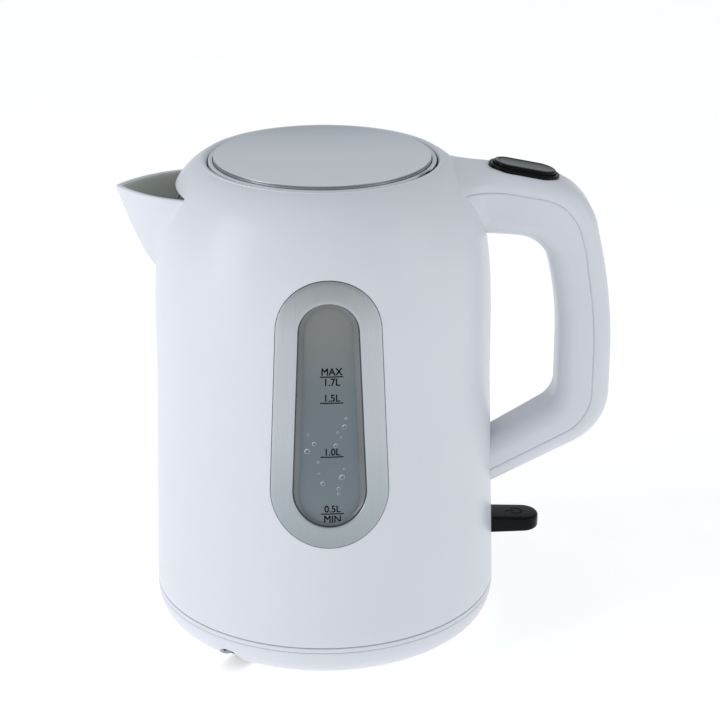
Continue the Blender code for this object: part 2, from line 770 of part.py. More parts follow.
def control_unit(frame):
    unit = solid("control_unit", block((-30, -24, 37.4), (34, 24, 45.4)), grey_plastic(), frame)
    bevel = unit.modifiers.new("edges", "BEVEL")
    bevel.width = 1.5 * MM
    bevel.segments = 2
    return unit


def heater(frame):
    x = STEAM_TUBE_X
    plate = solid("heating_plate", cylinder(PLATE_R, *PLATE_Z, segments=40), brushed_steel(), frame)
    cut(plate, cylinder(6.6, 50.0, 62.0, (x, 0.0)), frame)
    solid("heat_spreader", cylinder(55.0, 53.7, 56.6, segments=32), aluminium(), frame)
    arc_points = [(*on_circle(ELEMENT_R, a), 50.1) for a in range(20, 341, 16)]
    solid("heating_element", spiral_of(arc_points, 3.2, 6), brushed_steel(), frame)
    solid("plate_seal", tube(LEDGE_R + 0.4, 77.1, 58.3, 59.7, segments=32), silicone(), frame)
    solid("plate_clamp_ring", tube(LEDGE_R, 77.4, 53.0, 56.7, segments=32), grey_plastic(), frame)


def steam_path(frame):
    x = STEAM_TUBE_X
    solid("steam_tube", tube(3.0, STEAM_TUBE_R, 44.5, 199.0, (x, 0.0), 12), white_plastic(), frame)
    grommet = [(4.8, 55.6), (6.3, 55.6), (6.3, 58.3), (7.6, 58.3), (7.6, 59.8), (4.8, 59.8)]
    solid("steam_tube_grommet", revolve(grommet, 14, (x, 0.0)), silicone(), frame)
    holder = solid("steam_switch_box", block((52, -9, 36.5), (67.5, 9, 43.6)), grey_plastic(), frame)
    cut(holder, cylinder(7.0, 40.6, 46.0, (60.0, 0.0), 14), frame)
    disc = revolve([(0, 41.9), (3.0, 41.8), (6.4, 41.2), (6.4, 41.6), (3.0, 42.2), (0, 42.3)],
                   14, (60.0, 0.0))
    solid("steam_bimetal", disc, brass(), frame)


# ---------------------------------------------------------------- handle

def handle_outer_path():
    corners = [(46.0, 226.6, 0), (82.0, 223.0, 150), (122.7, 214.6, 29), (HANDLE_REACH, 158.4, 250),
               (HANDLE_REACH, 96.1, 29), (68.0, 62.3, 0)]
    return fillet_path(corners, 4)


def handle_inner_path():
    corners = [(62.0, 193.9, 0), (82.0, 192.3, 60), (101.2, 190.7, 18), (110.4, 162.0, 150),
               (110.4, 109.6, 13), (68.0, 84.3, 0)]
    return fillet_path(corners, 4)


def trough(depth, low, high, round_in, round_out, wall):
    """A U section in (y, depth), open towards its high or its low side."""
    half = HANDLE_HALF_W
    if round_out is None:
        outer = [(-half, high)] + arc((-half + round_in, low + round_in), round_in, 180, 270, 3)
        outer += arc((half - round_in, low + round_in), round_in, 270, 360, 3) + [(half, high)]
        small = round_in - wall
        inner = [(half - wall, high)] + arc((half - round_in, low + round_in), small, 360, 270, 3)
        inner += arc((-half + round_in, low + round_in), small, 270, 180, 3)
        return outer + inner + [(-half + wall, high)]
    top = depth - round_out
    outer = [(half, low)] + arc((half - round_out, top), round_out, 0, 90, 3)
    outer += arc((-half + round_out, top), round_out, 90, 180, 3) + [(-half, low)]
    small = round_out - wall
    inner = [(-half + wall, low)] + arc((-half + round_out, top), small, 180, 90, 3)
    inner += arc((half - round_out, top), small, 90, 0, 3)
    return outer + inner + [(half - wall, low)]


def handle_pairs(longest=4.5):
    """Matching points of the inner and outer paths, closer together at the upper end."""
    corners = list(zip(handle_inner_path(), handle_outer_path()))
    (inner, outer), following = corners[0], corners[1]
    count = int((Vector(following[1]) - Vector(outer)).length / longest) + 1
    pairs = []
    for i in range(count):
        share = i / count
        pairs.append((tuple(Vector(inner).lerp(Vector(following[0]), share)),
                      tuple(Vector(outer).lerp(Vector(following[1]), share))))
    return pairs + corners[1:]


def flare(x, z):
    """How many times wider the handle is where its upper end runs into the wall in a fillet."""
    low, high = FLARE_Z
    rise = min(max((z - low) / (high - low), 0.0), 1.0)
    fillet = max(FLARE_R * rise * rise * (3.0 - 2.0 * rise), 0.1)
    wall = body_radius(z) - FLARE_SINK
    middle_y = HANDLE_HALF_W + fillet
    middle_x = sqrt((wall + fillet) ** 2 - middle_y ** 2)
    ahead = min(max(middle_x - x, 0.0), middle_x * fillet / (wall + fillet))
    return (middle_y - sqrt(fillet ** 2 - ahead ** 2)) / HANDLE_HALF_W


def handle_loft(section):
    """Sweep a section between the handle's inner and outer paths."""
    rings = []
    for (xi, zi), (xo, zo) in handle_pairs():
        inner = Vector((xi, 0.0, zi))
        across = Vector((xo, 0.0, zo)) - inner
        depth = across.length
        across.normalize()
        ring = []
        for y, d in section(depth):
            point = inner + across * d
            point.y = y * flare(point.x, point.z)
            ring.append(point)
        rings.append(ring)
    return loft(rings)


def body_guide():
    """The jug's outside plus the fitting gap, to trim what meets it."""
    profile = [(0.0, 30.0), (body_radius(30.0) + GAP, 30.0), (SHOULDER_R + GAP, SHOULDER_Z)]
    curve = shoulder_curve(MOUTH_R, LIP_Z + GAP, SHOULDER_R + GAP, MOUTH_R + 2.0, 12)
    profile += curve[1:] + [(0.0, LIP_Z + 0.4)]
    return revolve(profile, BODY_SEGMENTS)


def button_hole():
    outline = oblong_outline(BUTTON_LENGTH + 0.8, BUTTON_WIDTH + 0.8, 8)
    return loft([[(x, y, -8.0) for x, y in outline], [(x, y, 8.0) for x, y in outline]])


def handle(frame, button_frame):
    inner_section = lambda d: trough(d, 0.0, d * HANDLE_SPLIT - 0.15, HANDLE_IN_ROUND, None,
                                     HANDLE_WALL)
    cover_section = lambda d: trough(d, d * HANDLE_SPLIT + 0.15, d, None, HANDLE_OUT_ROUND,
                                     HANDLE_WALL)
    inner = solid("handle_inner", handle_loft(inner_section), white_plastic(), frame)
    join(inner, cylinder(3.8, 190.6, 205.2, (102.6, 0.0), 14), frame)
    join(inner, block((96.8, -5.0, 190.8), (98.4, 5.0, 214.6)), frame)
    cut(inner, body_guide(), frame)
    cover = solid("handle_cover", handle_loft(cover_section), white_plastic(), frame)
    cut(cover, body_guide(), frame)
    cut(cover, button_hole(), button_frame)
    return inner, cover


def handle_screws(frame):
    """Two screws driven out of the jug into the handle's ends, along X."""
    for name, x, z in (("handle_screw_upper", 77.8, 203.0), ("handle_screw_lower", 80.6, 80.0)):
        outline = revolve([(0, 0), (2.4, 0), (2.4, 1.2), (1.3, 1.2), (1.3, 9.0), (0, 9.6)], 12)
        bmesh.ops.rotate(outline, verts=outline.verts, matrix=Matrix.Rotation(pi / 2, 3, "Y"))
        bmesh.ops.translate(outline, verts=outline.verts, vec=Vector((x, 0.0, z)) * MM)
        solid(name, outline, brushed_steel(), frame)


# ---------------------------------------------------------------- lid

def lid_notch(grow=0.0):
    """Room at the lid's rear edge for the fixed hinge bracket."""
    return block((42.0 - grow, -18.0, 205.0), (58.0, 18.0, 228.95))


def lid_frame(frame, origin):
    profile = [
        (0, 225.8), (47.6, 225.8), (47.6, 214.0), (50.0, 214.0), (50.0, 224.4),
        (LID_FLANGE_R, 224.4), (LID_FLANGE_R, 226.5), (48.9, 226.5), (48.9, 228.7), (0, 228.7),
    ]
    body = solid("lid_frame", revolve(profile, 36), white_plastic(), frame, origin)
    cut(body, lid_notch(), frame, origin)
    heel = [(50.1, 223.5), (54.0, 223.5), (54.0, 227.5), (50.1, 227.5)]
    cut(body, revolve(heel, 12, start=-45.0, turn=90.0), frame, origin)
    x, z = LID_HINGE
    r = LID_KNUCKLE_R
    for side in (-1, 1):
        near, far = sorted(side * y for y in LID_KNUCKLE_Y)
        web = [(41.0, z - r), (x, z - r)] + arc((x, z), r, -75, 90, 5) + [(41.0, z + r)]
        join(body, plate_xz(web, near, far), frame, origin)
    tongue = [(41.0, 226.0), (41.0, 219.5), (57.0, 219.5), (57.0, 221.2), (56.2, 222.0),
              (42.3, 222.0), (42.3, 226.0)]
    join(body, plate_xz(tongue, -4.0, 4.0), frame, origin)
    cut(body, rod_y((x, z), LID_PIN_R + 0.25, -20.0, 20.0), frame, origin)
    return body


def lid_plate(frame, origin):
    r = LID_PLATE_R
    top = LID_TOP_Z
    profile = [
        (0, top - 0.6), (r - 0.9, top - 0.6), (r - 0.6, top - 0.9), (r - 0.6, 226.8), (r, 226.8),
        (r, top - 0.9), (r - 0.25, top - 0.25), (r - 0.9, top), (0, top),
    ]
    return solid("lid_plate", revolve(profile, 36), brushed_steel(), frame, origin)


def lid_inner_cover(frame, origin):
    cover = solid("lid_inner_cover", cylinder(47.3, 214.2, 216.0, segments=36), white_plastic(),
                  frame, origin)
    cut(cover, lid_notch(0.4), frame, origin)
    for x in (-6.0, 0.0, 6.0):
        cut(cover, block((x - 1.2, -9.0, 212.0), (x + 1.2, 9.0, 218.0)), frame, origin)
    return cover


def lid_seal(frame, origin):
    profile = [(50.7, 216.5), (52.3, 216.9), (52.3, 218.1), (50.7, 218.5)]
    return solid("lid_seal", revolve(profile, 32, start=25.0, turn=310.0), silicone(), frame, origin)


def build_lid(frame):
    origin = (LID_HINGE[0], 0.0, LID_HINGE[1])
    lid_plate(frame, origin)
    lid_frame(frame, origin)
    lid_inner_cover(frame, origin)
    lid_seal(frame, origin)


def lid_hinge(frame):
    """The fixed half of the hinge: bracket, pin and the torsion spring that lifts the lid."""
    x, z = LID_HINGE
    r = LID_KNUCKLE_R
    bracket = solid("lid_hinge_bracket", block((x - 2.3, -9.5, 203.5), (67.6, 9.5, 206.0)),
                    white_plastic(), frame)
    for side in (-1, 1):
        near, far = sorted((side * 7.0, side * 9.5))
        ear = [(x - 2.3, 205.0), (x + 0.5, 205.0), (x + 0.5, z - 2.0)]
        ear += arc((x, z), r, -60, 180, 6) + [(x - 2.3, z)]
        join(bracket, plate_xz(ear, near, far), frame)
    cut(bracket, rod_y((x, z), LID_PIN_R + GAP, -12.0, 12.0), frame)
    cut(bracket, cylinder(5.2, 202.0, 208.0, (STEAM_TUBE_X, 0.0), 18), frame)
    solid("lid_hinge_pin", rod_y((x, z), LID_PIN_R, -13.8, 13.8), brushed_steel(), frame)
    spring = coil(Vector((x, -5.6, z)), 1.95, 0.35, 11.2, 4, Vector((0, 1, 0)), 4, 8)
    solid("lid_spring", spring, brushed_steel(), frame)


# ---------------------------------------------------------------- button, latch and switch

def button_bezel(button_frame):
    rings = []
    for grow, z in ((4.1, 0.35), (4.1, 0.7), (3.3, 1.15), (0.7, 1.15), (0.7, 0.35)):
        outline = oblong_outline(BUTTON_LENGTH + grow, BUTTON_WIDTH + grow, 8)
        rings.append([(x, y, z) for x, y in outline])
    return solid("button_bezel", loft(rings, closed=True), black_plastic(), button_frame)


def lid_button(button_frame):
    rings = []
    for inset, z in ((0.0, -1.4), (0.0, BUTTON_RISE - 1.0), (0.35, BUTTON_RISE - 0.3),
                     (1.1, BUTTON_RISE), (2.2, BUTTON_RISE - 0.1), (4.2, BUTTON_RISE - 0.45)):
        outline = oblong_outline(BUTTON_LENGTH - 2 * inset, BUTTON_WIDTH - 2 * inset, 8)
        rings.append([(x, y, z) for x, y in outline])
    button = solid("lid_button", loft(rings), black_plastic(), button_frame)
    join(button, block((-9.0, -2.4, -7.0), (-4.5, 2.4, -1.0)), button_frame)
    return button


def button_spring(frame):
    spring = coil(Vector((102.6, 0.0, 206.0)), 2.6, 0.4, 10.0, 4, Vector((0, 0, 1)), 4, 8)
    return solid("button_spring", spring, brushed_steel(), frame)


def build_latch(frame):
    """A sliding bolt under the button: its nose reaches towards the lid's rear tongue."""
    side = [(56.8, 215.5), (75.5, 215.5), (75.5, 211.6), (79.0, 211.6), (79.0, 218.3), (56.8, 218.3)]
    bolt = solid("lid_latch", plate_xz(side, -3.0, 3.0), grey_plastic(), frame)
    join(bolt, block((77.0, -5.2, 211.6), (92.0, 5.2, 214.4)), frame)
    window = [(79.6, 210.0), (82.35, 210.0), (88.35, 216.0), (79.6, 216.0)]
    cut(bolt, plate_xz(window, -3.2, 3.2), frame)
    spring = coil(Vector((92.6, 0.0, 213.0)), 1.5, 0.25, 3.8, 3, Vector((1, 0, 0)), 4, 8)
    solid("latch_spring", spring, brushed_steel(), frame)
    return bolt


def build_switch(frame, origin):
    """The black paddle, with the barrel that turns on its pin inside the jug's wall."""
    x, z = SWITCH_PIVOT
    blade = SWITCH_TIP_X - x
    rings = []
    for inset, low, high in ((1.4, -4.9, 4.1), (0.5, -4.5, 3.7), (0.0, -3.4, 2.6)):
        half = SWITCH_HALF_W - inset
        tip = [(x + blade - inset - 7.0 + 7.0 * cos(radians(a)), half * sin(radians(a)))
               for a in range(-90, 91, 18)]
        outline = [(x + SWITCH_ROOT, -half)] + tip + [(x + SWITCH_ROOT, half)]
        taper = lambda px: (px - x) / blade
        rings.append([[(px, py, z + low + 0.6 * taper(px)) for px, py in outline],
                      [(px, py, z + high - 1.2 * taper(px)) for px, py in outline]])
    lower = [pair[0] for pair in rings]
    upper = [pair[1] for pair in reversed(rings)]
    paddle = solid("power_switch", loft(lower + upper), black_plastic(), frame, origin)
    barrel = rod_y((x, z), 3.0, -4.0, 4.0)
    join(paddle, barrel, frame, origin)
    arm = [(x, z - 2.0), (x + 6.5, z - 2.0), (x + 6.5, z + 2.0), (x, z + 2.0)]
    join(paddle, plate_xz(arm, -4.0, 4.0), frame, origin)
    cut(paddle, rod_y((x, z), 1.35, -6.0, 6.0), frame, origin)
    return paddle


def switch_mount(frame):
    x, z = SWITCH_PIVOT
    bracket = solid("switch_bracket", block((x - 4, -8.6, 22.9), (x + 3.6, 8.6, 25.0)),
                    grey_plastic(), frame)
    for side in (-1, 1):
        near, far = sorted((side * 4.8, side * 7.0))
        ear = [(x - 3, 24.0), (x + 3, 24.0), (x + 3, z)] + arc((x, z), 3.0, 20, 180, 6)
        join(bracket, plate_xz(ear, near, far), frame)
    cut(bracket, rod_y((x, z), 1.35, -12.0, 12.0), frame)
    solid("switch_pin", rod_y((x, z), 1.05, -7.6, 7.6, 14), brushed_steel(), frame)


# ---------------------------------------------------------------- assembly

def build_jug(frame, button_frame):
    jug_shell(frame)
    window_trim(frame)
    window_lens(frame)
    window_gasket(frame)
    spout_filter(frame)
    jug_bottom_cover(frame)
    for i, degrees in enumerate(JUG_SCREW_ANGLES):
        spot = on_circle(JUG_SCREW_RING_R, degrees)
        screw(frame, f"bottom_screw_{i + 1}", spot, 20.1, 34.0, head_r=2.5, shank_r=1.2)
    jug_connector(frame)
    control_unit(frame)
    heater(frame)
    steam_path(frame)
    handle(frame, button_frame)
    handle_screws(frame)
    lid_hinge(frame)
    button_bezel(button_frame)
    button_spring(frame)
    switch_mount(frame)


def main():
    clear_scene()
    kettle_axis = empty("kettle_axis", AXIS_X, 0.0, None)
    lid_axis = empty("lid_axis", LID_HINGE[0], LID_HINGE[1], kettle_axis)
    switch_axis = empty("switch_axis", SWITCH_PIVOT[0], SWITCH_PIVOT[1], kettle_axis)
    button_axis = empty("button_axis", BUTTON_X, BUTTON_Z, kettle_axis, BUTTON_TILT)
    build_base(kettle_axis)
    build_shutter(kettle_axis)
    build_jug(kettle_axis, button_axis)
    build_lid(lid_axis)
    lid_button(button_axis)
    build_latch(kettle_axis)
    build_switch(switch_axis, (SWITCH_PIVOT[0], 0.0, SWITCH_PIVOT[1]))


main()
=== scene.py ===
import json
from math import acos, cos, pi, radians, sin, sqrt, tan

import bmesh
import bpy
from mathutils import Matrix, Vector


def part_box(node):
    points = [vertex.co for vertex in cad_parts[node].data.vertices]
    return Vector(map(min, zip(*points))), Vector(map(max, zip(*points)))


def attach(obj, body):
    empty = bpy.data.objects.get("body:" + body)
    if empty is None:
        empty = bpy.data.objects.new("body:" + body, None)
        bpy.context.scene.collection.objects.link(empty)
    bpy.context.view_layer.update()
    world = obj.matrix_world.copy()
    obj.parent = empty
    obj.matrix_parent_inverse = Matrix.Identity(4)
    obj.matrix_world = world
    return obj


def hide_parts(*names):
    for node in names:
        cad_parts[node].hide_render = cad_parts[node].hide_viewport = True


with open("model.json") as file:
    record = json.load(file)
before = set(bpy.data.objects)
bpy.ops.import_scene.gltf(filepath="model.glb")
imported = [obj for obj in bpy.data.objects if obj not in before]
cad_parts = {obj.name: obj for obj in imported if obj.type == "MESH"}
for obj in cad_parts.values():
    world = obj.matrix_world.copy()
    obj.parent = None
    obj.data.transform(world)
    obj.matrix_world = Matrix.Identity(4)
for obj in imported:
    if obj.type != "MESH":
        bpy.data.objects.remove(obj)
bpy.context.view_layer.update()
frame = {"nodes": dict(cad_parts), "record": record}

# Lengths below are millimetres from the jug's own upright axis, which the round base tray marks.
MM = 0.001
base_low, base_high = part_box("base_tray")
AXIS_X = (base_low.x + base_high.x) / 2

# Jug body
BODY_FOOT_R = 82.0
BODY_FOOT_Z = 19.3
SHOULDER_R = 78.6
SHOULDER_Z = 126.8
MOUTH_R = 52.8
LIP_Z = 228.5
POWER_R = 1.725
POWER_Z = 3.82
WALL = 3.0
COLLAR_R = 55.2
COLLAR_BOTTOM_Z = 212.0
SEGMENTS = 240

# Spout
SPOUT_REACH = 94.6
KEEL_FOOT = (77.0, 177.6)
KEEL_TIP_Z = 216.6
KEEL_POWER = 0.7
SPOUT_HALF_W = 26.8
SPOUT_WIDTH_POWER = 0.6
SPOUT_BOW_POWER = 0.88
SPOUT_ROOT = 13.0
SPOUT_WALL = 2.2
SPOUT_TIP_WALL = 2.75
RIM_SLOPE = 0.0145
UNDER_SKIN = 0.06
DUCT_DEPTH = 3.6
SPOUT_HOLE_MARGIN = 5.0
SPOUT_HOLE_Z = (185.0, 216.5)
SPOUT_HOLE_HALF_W = (2.5, 21.0)

# Window
WINDOW_LOW_Z = 96.6
WINDOW_HIGH_Z = 171.3
TRIM_R = (26.9, 23.5)
LENS_R = (16.8, 13.6)
LENS_DEPTH = -2.5
FACING = -pi / 2
CAPITAL_HEIGHT = 3.3
MAX_LINE_Z = 150.8
LITRE_AND_HALF_LINE_Z = 138.4
LITRE_LINE_Z = 112.7
MIN_LINE_Z = 85.2

# Handle
HANDLE_HALF_W = 14.0
HANDLE_SPLIT = 0.64
FLARE_R = 26.0
FLARE_Z = (195.0, 214.0)
FLARE_SINK = 0.4

# Lid, button and switch
LID_TOP_Z = 229.6
LID_PLATE_R = 49.8
LID_RING_R = 52.2
LID_HINGE = (45.0, 226.5)
KNUCKLE_R = 2.1
BUTTON_X = 92.7
BUTTON_Z = 220.9
BUTTON_TILT = radians(11.5)
BUTTON_LENGTH = 29.5
BUTTON_WIDTH = 15.0
BUTTON_RISE = 2.9
SWITCH_PIVOT = (72.0, 43.8)
SWITCH_TIP_X = 104.6
SWITCH_HALF_W = 8.0

# Base
BASE_R = 82.0
BASE_FLAT_R = 55.1
BASE_FLOOR_Z = 0.7
BASE_SEAM_Z = 16.5
BASE_TOP_Z = 18.7
CORD_AZIMUTH = radians(234.0)
FOOT_CIRCLE_R = 58.0
FOOT_DEGREES = (45, 135, 225, 315)
BASE_SCREW_CIRCLE_R = 40.0
BASE_SCREW_DEGREES = (90, 210, 330)
JUG_SCREW_CIRCLE_R = 75.6
JUG_SCREW_DEGREES = (60, 180, 300)
STEAM_TUBE_X = 62.0


def at(x, y, z):
    return Vector((AXIS_X + x * MM, y * MM, z * MM))


# ---------------- outlines

def held(share):
    return min(max(share, 0.0), 1.0)


def body_radius(z):
    if z <= SHOULDER_Z:
        share = (z - BODY_FOOT_Z) / (SHOULDER_Z - BODY_FOOT_Z)
        return BODY_FOOT_R + (SHOULDER_R - BODY_FOOT_R) * share
    rise = min((z - SHOULDER_Z) / (LIP_Z - SHOULDER_Z), 1.0)
    return MOUTH_R + (SHOULDER_R - MOUTH_R) * (1.0 - rise ** POWER_Z) ** (1.0 / POWER_R)


def shoulder_curve(top_z, side_r, last_r, steps):
    reach = (last_r - MOUTH_R) / (side_r - MOUTH_R)
    last_angle = acos(reach ** (POWER_R / 2))
    points = []
    for i in range(steps + 1):
        angle = last_angle * (i / steps) ** 0.8
        r = MOUTH_R + (side_r - MOUTH_R) * cos(angle) ** (2 / POWER_R)
        z = SHOULDER_Z + (top_z - SHOULDER_Z) * sin(angle) ** (2 / POWER_Z)
        points.append((r, z))
    return points


def on_circle(radius, degrees):
    return (radius * cos(radians(degrees)), radius * sin(radians(degrees)))


def arc(centre, radius, start, end, steps):
    points = []
    for i in range(steps + 1):
        across, up = on_circle(radius, start + (end - start) * i / steps)
        points.append((centre[0] + across, centre[1] + up))
    return points


def rounded(outline, steps=5, closed=True):
    """Round the corners (x, z, radius) of an outline."""
    result = []
    count = len(outline)
    for i, (x, z, radius) in enumerate(outline):
        if radius == 0 or (not closed and i in (0, count - 1)):
            result.append((x, z))
            continue
        here = Vector((x, z))
        back = (Vector(outline[i - 1][:2]) - here).normalized()
        ahead = (Vector(outline[(i + 1) % count][:2]) - here).normalized()
        half = acos(max(-1.0, min(1.0, back.dot(ahead)))) / 2
        centre = here + (back + ahead).normalized() * (radius / sin(half))
        first = here + back * (radius / tan(half)) - centre
        last = here + ahead * (radius / tan(half)) - centre
        turn = first.angle_signed(last)
        for k in range(steps + 1):
            spoke = first.copy()
            spoke.rotate(Matrix.Rotation(-turn * k / steps, 2))
            result.append(tuple(centre + spoke))
    return result


def stadium(radii, grow, arc_steps, side_steps):
    """The window's upright oval as points (s, z), s being the distance round the wall."""
    low_r, high_r = radii[0] + grow, radii[1] + grow
    lower = arc((0.0, WINDOW_LOW_Z), low_r, 180.0, 360.0, arc_steps)
    upper = arc((0.0, WINDOW_HIGH_Z), high_r, 0.0, 180.0, arc_steps)
    right = []
    for i in range(1, side_steps):
        share = i / side_steps
        right.append((low_r + (high_r - low_r) * share,
                      WINDOW_LOW_Z + (WINDOW_HIGH_Z - WINDOW_LOW_Z) * share))
    left = [(-s, z) for s, z in reversed(right)]
    return lower + right + upper + left


def stadium_half_width(z, radii, grow=0.0):
    low_r, high_r = radii[0] + grow, radii[1] + grow
    if z < WINDOW_LOW_Z:
        return sqrt(max(0.0, low_r ** 2 - (z - WINDOW_LOW_Z) ** 2))
    if z > WINDOW_HIGH_Z:
        return sqrt(max(0.0, high_r ** 2 - (z - WINDOW_HIGH_Z) ** 2))
    share = (z - WINDOW_LOW_Z) / (WINDOW_HIGH_Z - WINDOW_LOW_Z)
    return low_r + (high_r - low_r) * share


def oval_rows(radii, grow, steps=18):
    """Heights for rows of points down an oval, closer together at its ends."""
    low_r, high_r = radii[0] + grow, radii[1] + grow
    below = [WINDOW_LOW_Z - low_r * cos(radians(2 + 88 * i / steps)) for i in range(steps + 1)]
    above = [WINDOW_HIGH_Z + high_r * sin(radians(88 * i / steps)) for i in range(steps + 1)]
    middle = [WINDOW_LOW_Z + (WINDOW_HIGH_Z - WINDOW_LOW_Z) * i / 12 for i in range(1, 12)]
    return below + middle + above


def oblong(length, width, steps):
    radius = width / 2
    reach = (length - width) / 2
    right = arc((reach, 0.0), radius, -90.0, 90.0, steps)
    return right + arc((-reach, 0.0), radius, 90.0, 270.0, steps)


def wall_point(azimuth, s, z, depth):
    """A point off the wall: s runs round it from an azimuth, depth is outward."""
    surface = body_radius(z)
    angle = azimuth + s / surface
    return ((surface + depth) * cos(angle), (surface + depth) * sin(angle), z)


# ---------------- mesh helpers

CUT = "DIFFERENCE"
JOIN = "UNION"


def loft(rings, closed=False, caps=True, wrap=True):
    """A skin through rings of (x, y, z) points."""
    mesh = bmesh.new()
    made = [[mesh.verts.new(at(*p)) for p in ring] for ring in rings]
    pairs = list(zip(made, made[1:]))
    if closed:
        pairs.append((made[-1], made[0]))
    for ring, following in pairs:
        count = len(ring)
        for i in range(count if wrap else count - 1):
            j = (i + 1) % count
            mesh.faces.new((ring[i], ring[j], following[j], following[i]))
    if caps and not closed:
        mesh.faces.new(made[0])
        mesh.faces.new(made[-1])
    return mesh


def lathe(profile, segments=SEGMENTS, centre=(0.0, 0.0), start=0.0, turn=360.0):
    full = turn >= 360.0
    rings = []
    for i in range(segments if full else segments + 1):
        angle = radians(start + turn * i / segments)
        east, north = cos(angle), sin(angle)
        rings.append([(centre[0] + r * east, centre[1] + r * north, z) for r, z in profile])
    mesh = loft(rings, closed=full)
    bmesh.ops.remove_doubles(mesh, verts=mesh.verts, dist=1e-7)
    bmesh.ops.delete(mesh, geom=[e for e in mesh.edges if not e.link_faces], context="EDGES")
    return mesh


def cylinder(radius, low, high, centre=(0.0, 0.0), segments=48):
    return lathe([(0, low), (radius, low), (radius, high), (0, high)], segments, centre)


def block(low, high):
    (x0, y0, z0), (x1, y1, z1) = low, high
    bottom = [(x0, y0, z0), (x1, y0, z0), (x1, y1, z0), (x0, y1, z0)]
    return loft([bottom, [(x, y, z1) for x, y, _ in bottom]])


def plate_xz(outline, y0, y1):
    return loft([[(x, y0, z) for x, z in outline], [(x, y1, z) for x, z in outline]])


def rod_y(centre, radius, y0, y1, segments=32):
    return plate_xz(arc(centre, radius, 0.0, 360.0 - 360.0 / segments, segments - 1), y0, y1)


def wall_panel(azimuth, half_width, heights, back, front, columns):
    rings = []
    for z in heights:
        span = [half_width(z) * (2 * i / columns - 1) for i in range(columns + 1)]
        outer = [wall_point(azimuth, s, z, front) for s in span]
        inner = [wall_point(azimuth, s, z, back) for s in reversed(span)]
        rings.append(outer + inner)
    return loft(rings)


def wall_band(azimuth, outer, inner, section):
    """A band between two outlines of (s, z); section is (share across, depth) points."""
    rings = []
    for (s0, z0), (s1, z1) in zip(outer, inner):
        rings.append([wall_point(azimuth, s0 + (s1 - s0) * t, z0 + (z1 - z0) * t, depth)
                      for t, depth in section])
    return loft(rings, closed=True)


def raw_object(name, mesh):
    bmesh.ops.recalc_face_normals(mesh, faces=mesh.faces)
    data = bpy.data.meshes.new(name)
    mesh.to_mesh(data)
    mesh.free()
    made = bpy.data.objects.new(name, data)
    bpy.context.scene.collection.objects.link(made)
    return made


def carve(target, *steps):
    """Apply exact Booleans, each a (mesh, operation) pair, and leave no tool behind."""
    guides = []
    for i, (mesh, operation) in enumerate(steps):
        guide = raw_object(f"{target.name}_guide_{i}", mesh)
        step = target.modifiers.new(f"step_{i}", "BOOLEAN")
        step.operation = operation
        step.solver = "EXACT"
        step.object = guide
        guides.append(guide)
    bpy.context.view_layer.update()
    graph = bpy.context.evaluated_depsgraph_get()
    made = bpy.data.meshes.new_from_object(target.evaluated_get(graph))
    target.modifiers.clear()
    target.data = made
    for guide in guides:
        bpy.data.objects.remove(guide)


def piece(name, mesh, finish, body, nodes=(), sharp=35.0, steps=()):
    """A finished piece of the visual model, riding on its body."""
    made = raw_object(name, mesh)
    if steps:
        carve(made, *steps)
    made.data.materials.clear()
    made.data.materials.append(finish)
    made.data.shade_smooth()
    made.data.set_sharp_from_angle(angle=radians(sharp))
    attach(made, body)
    if nodes:
        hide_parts(*nodes)
    return made


def second_finish(made, finish, chosen):
    """Give the chosen faces of a piece another material."""
    made.data.materials.append(finish)
    for face in made.data.polygons:
        if chosen(face):
            face.material_index = 1


# ---------------- materials

def set_inputs(node, values):
    for key, value in values.items():
        node.inputs[key].default_value = value


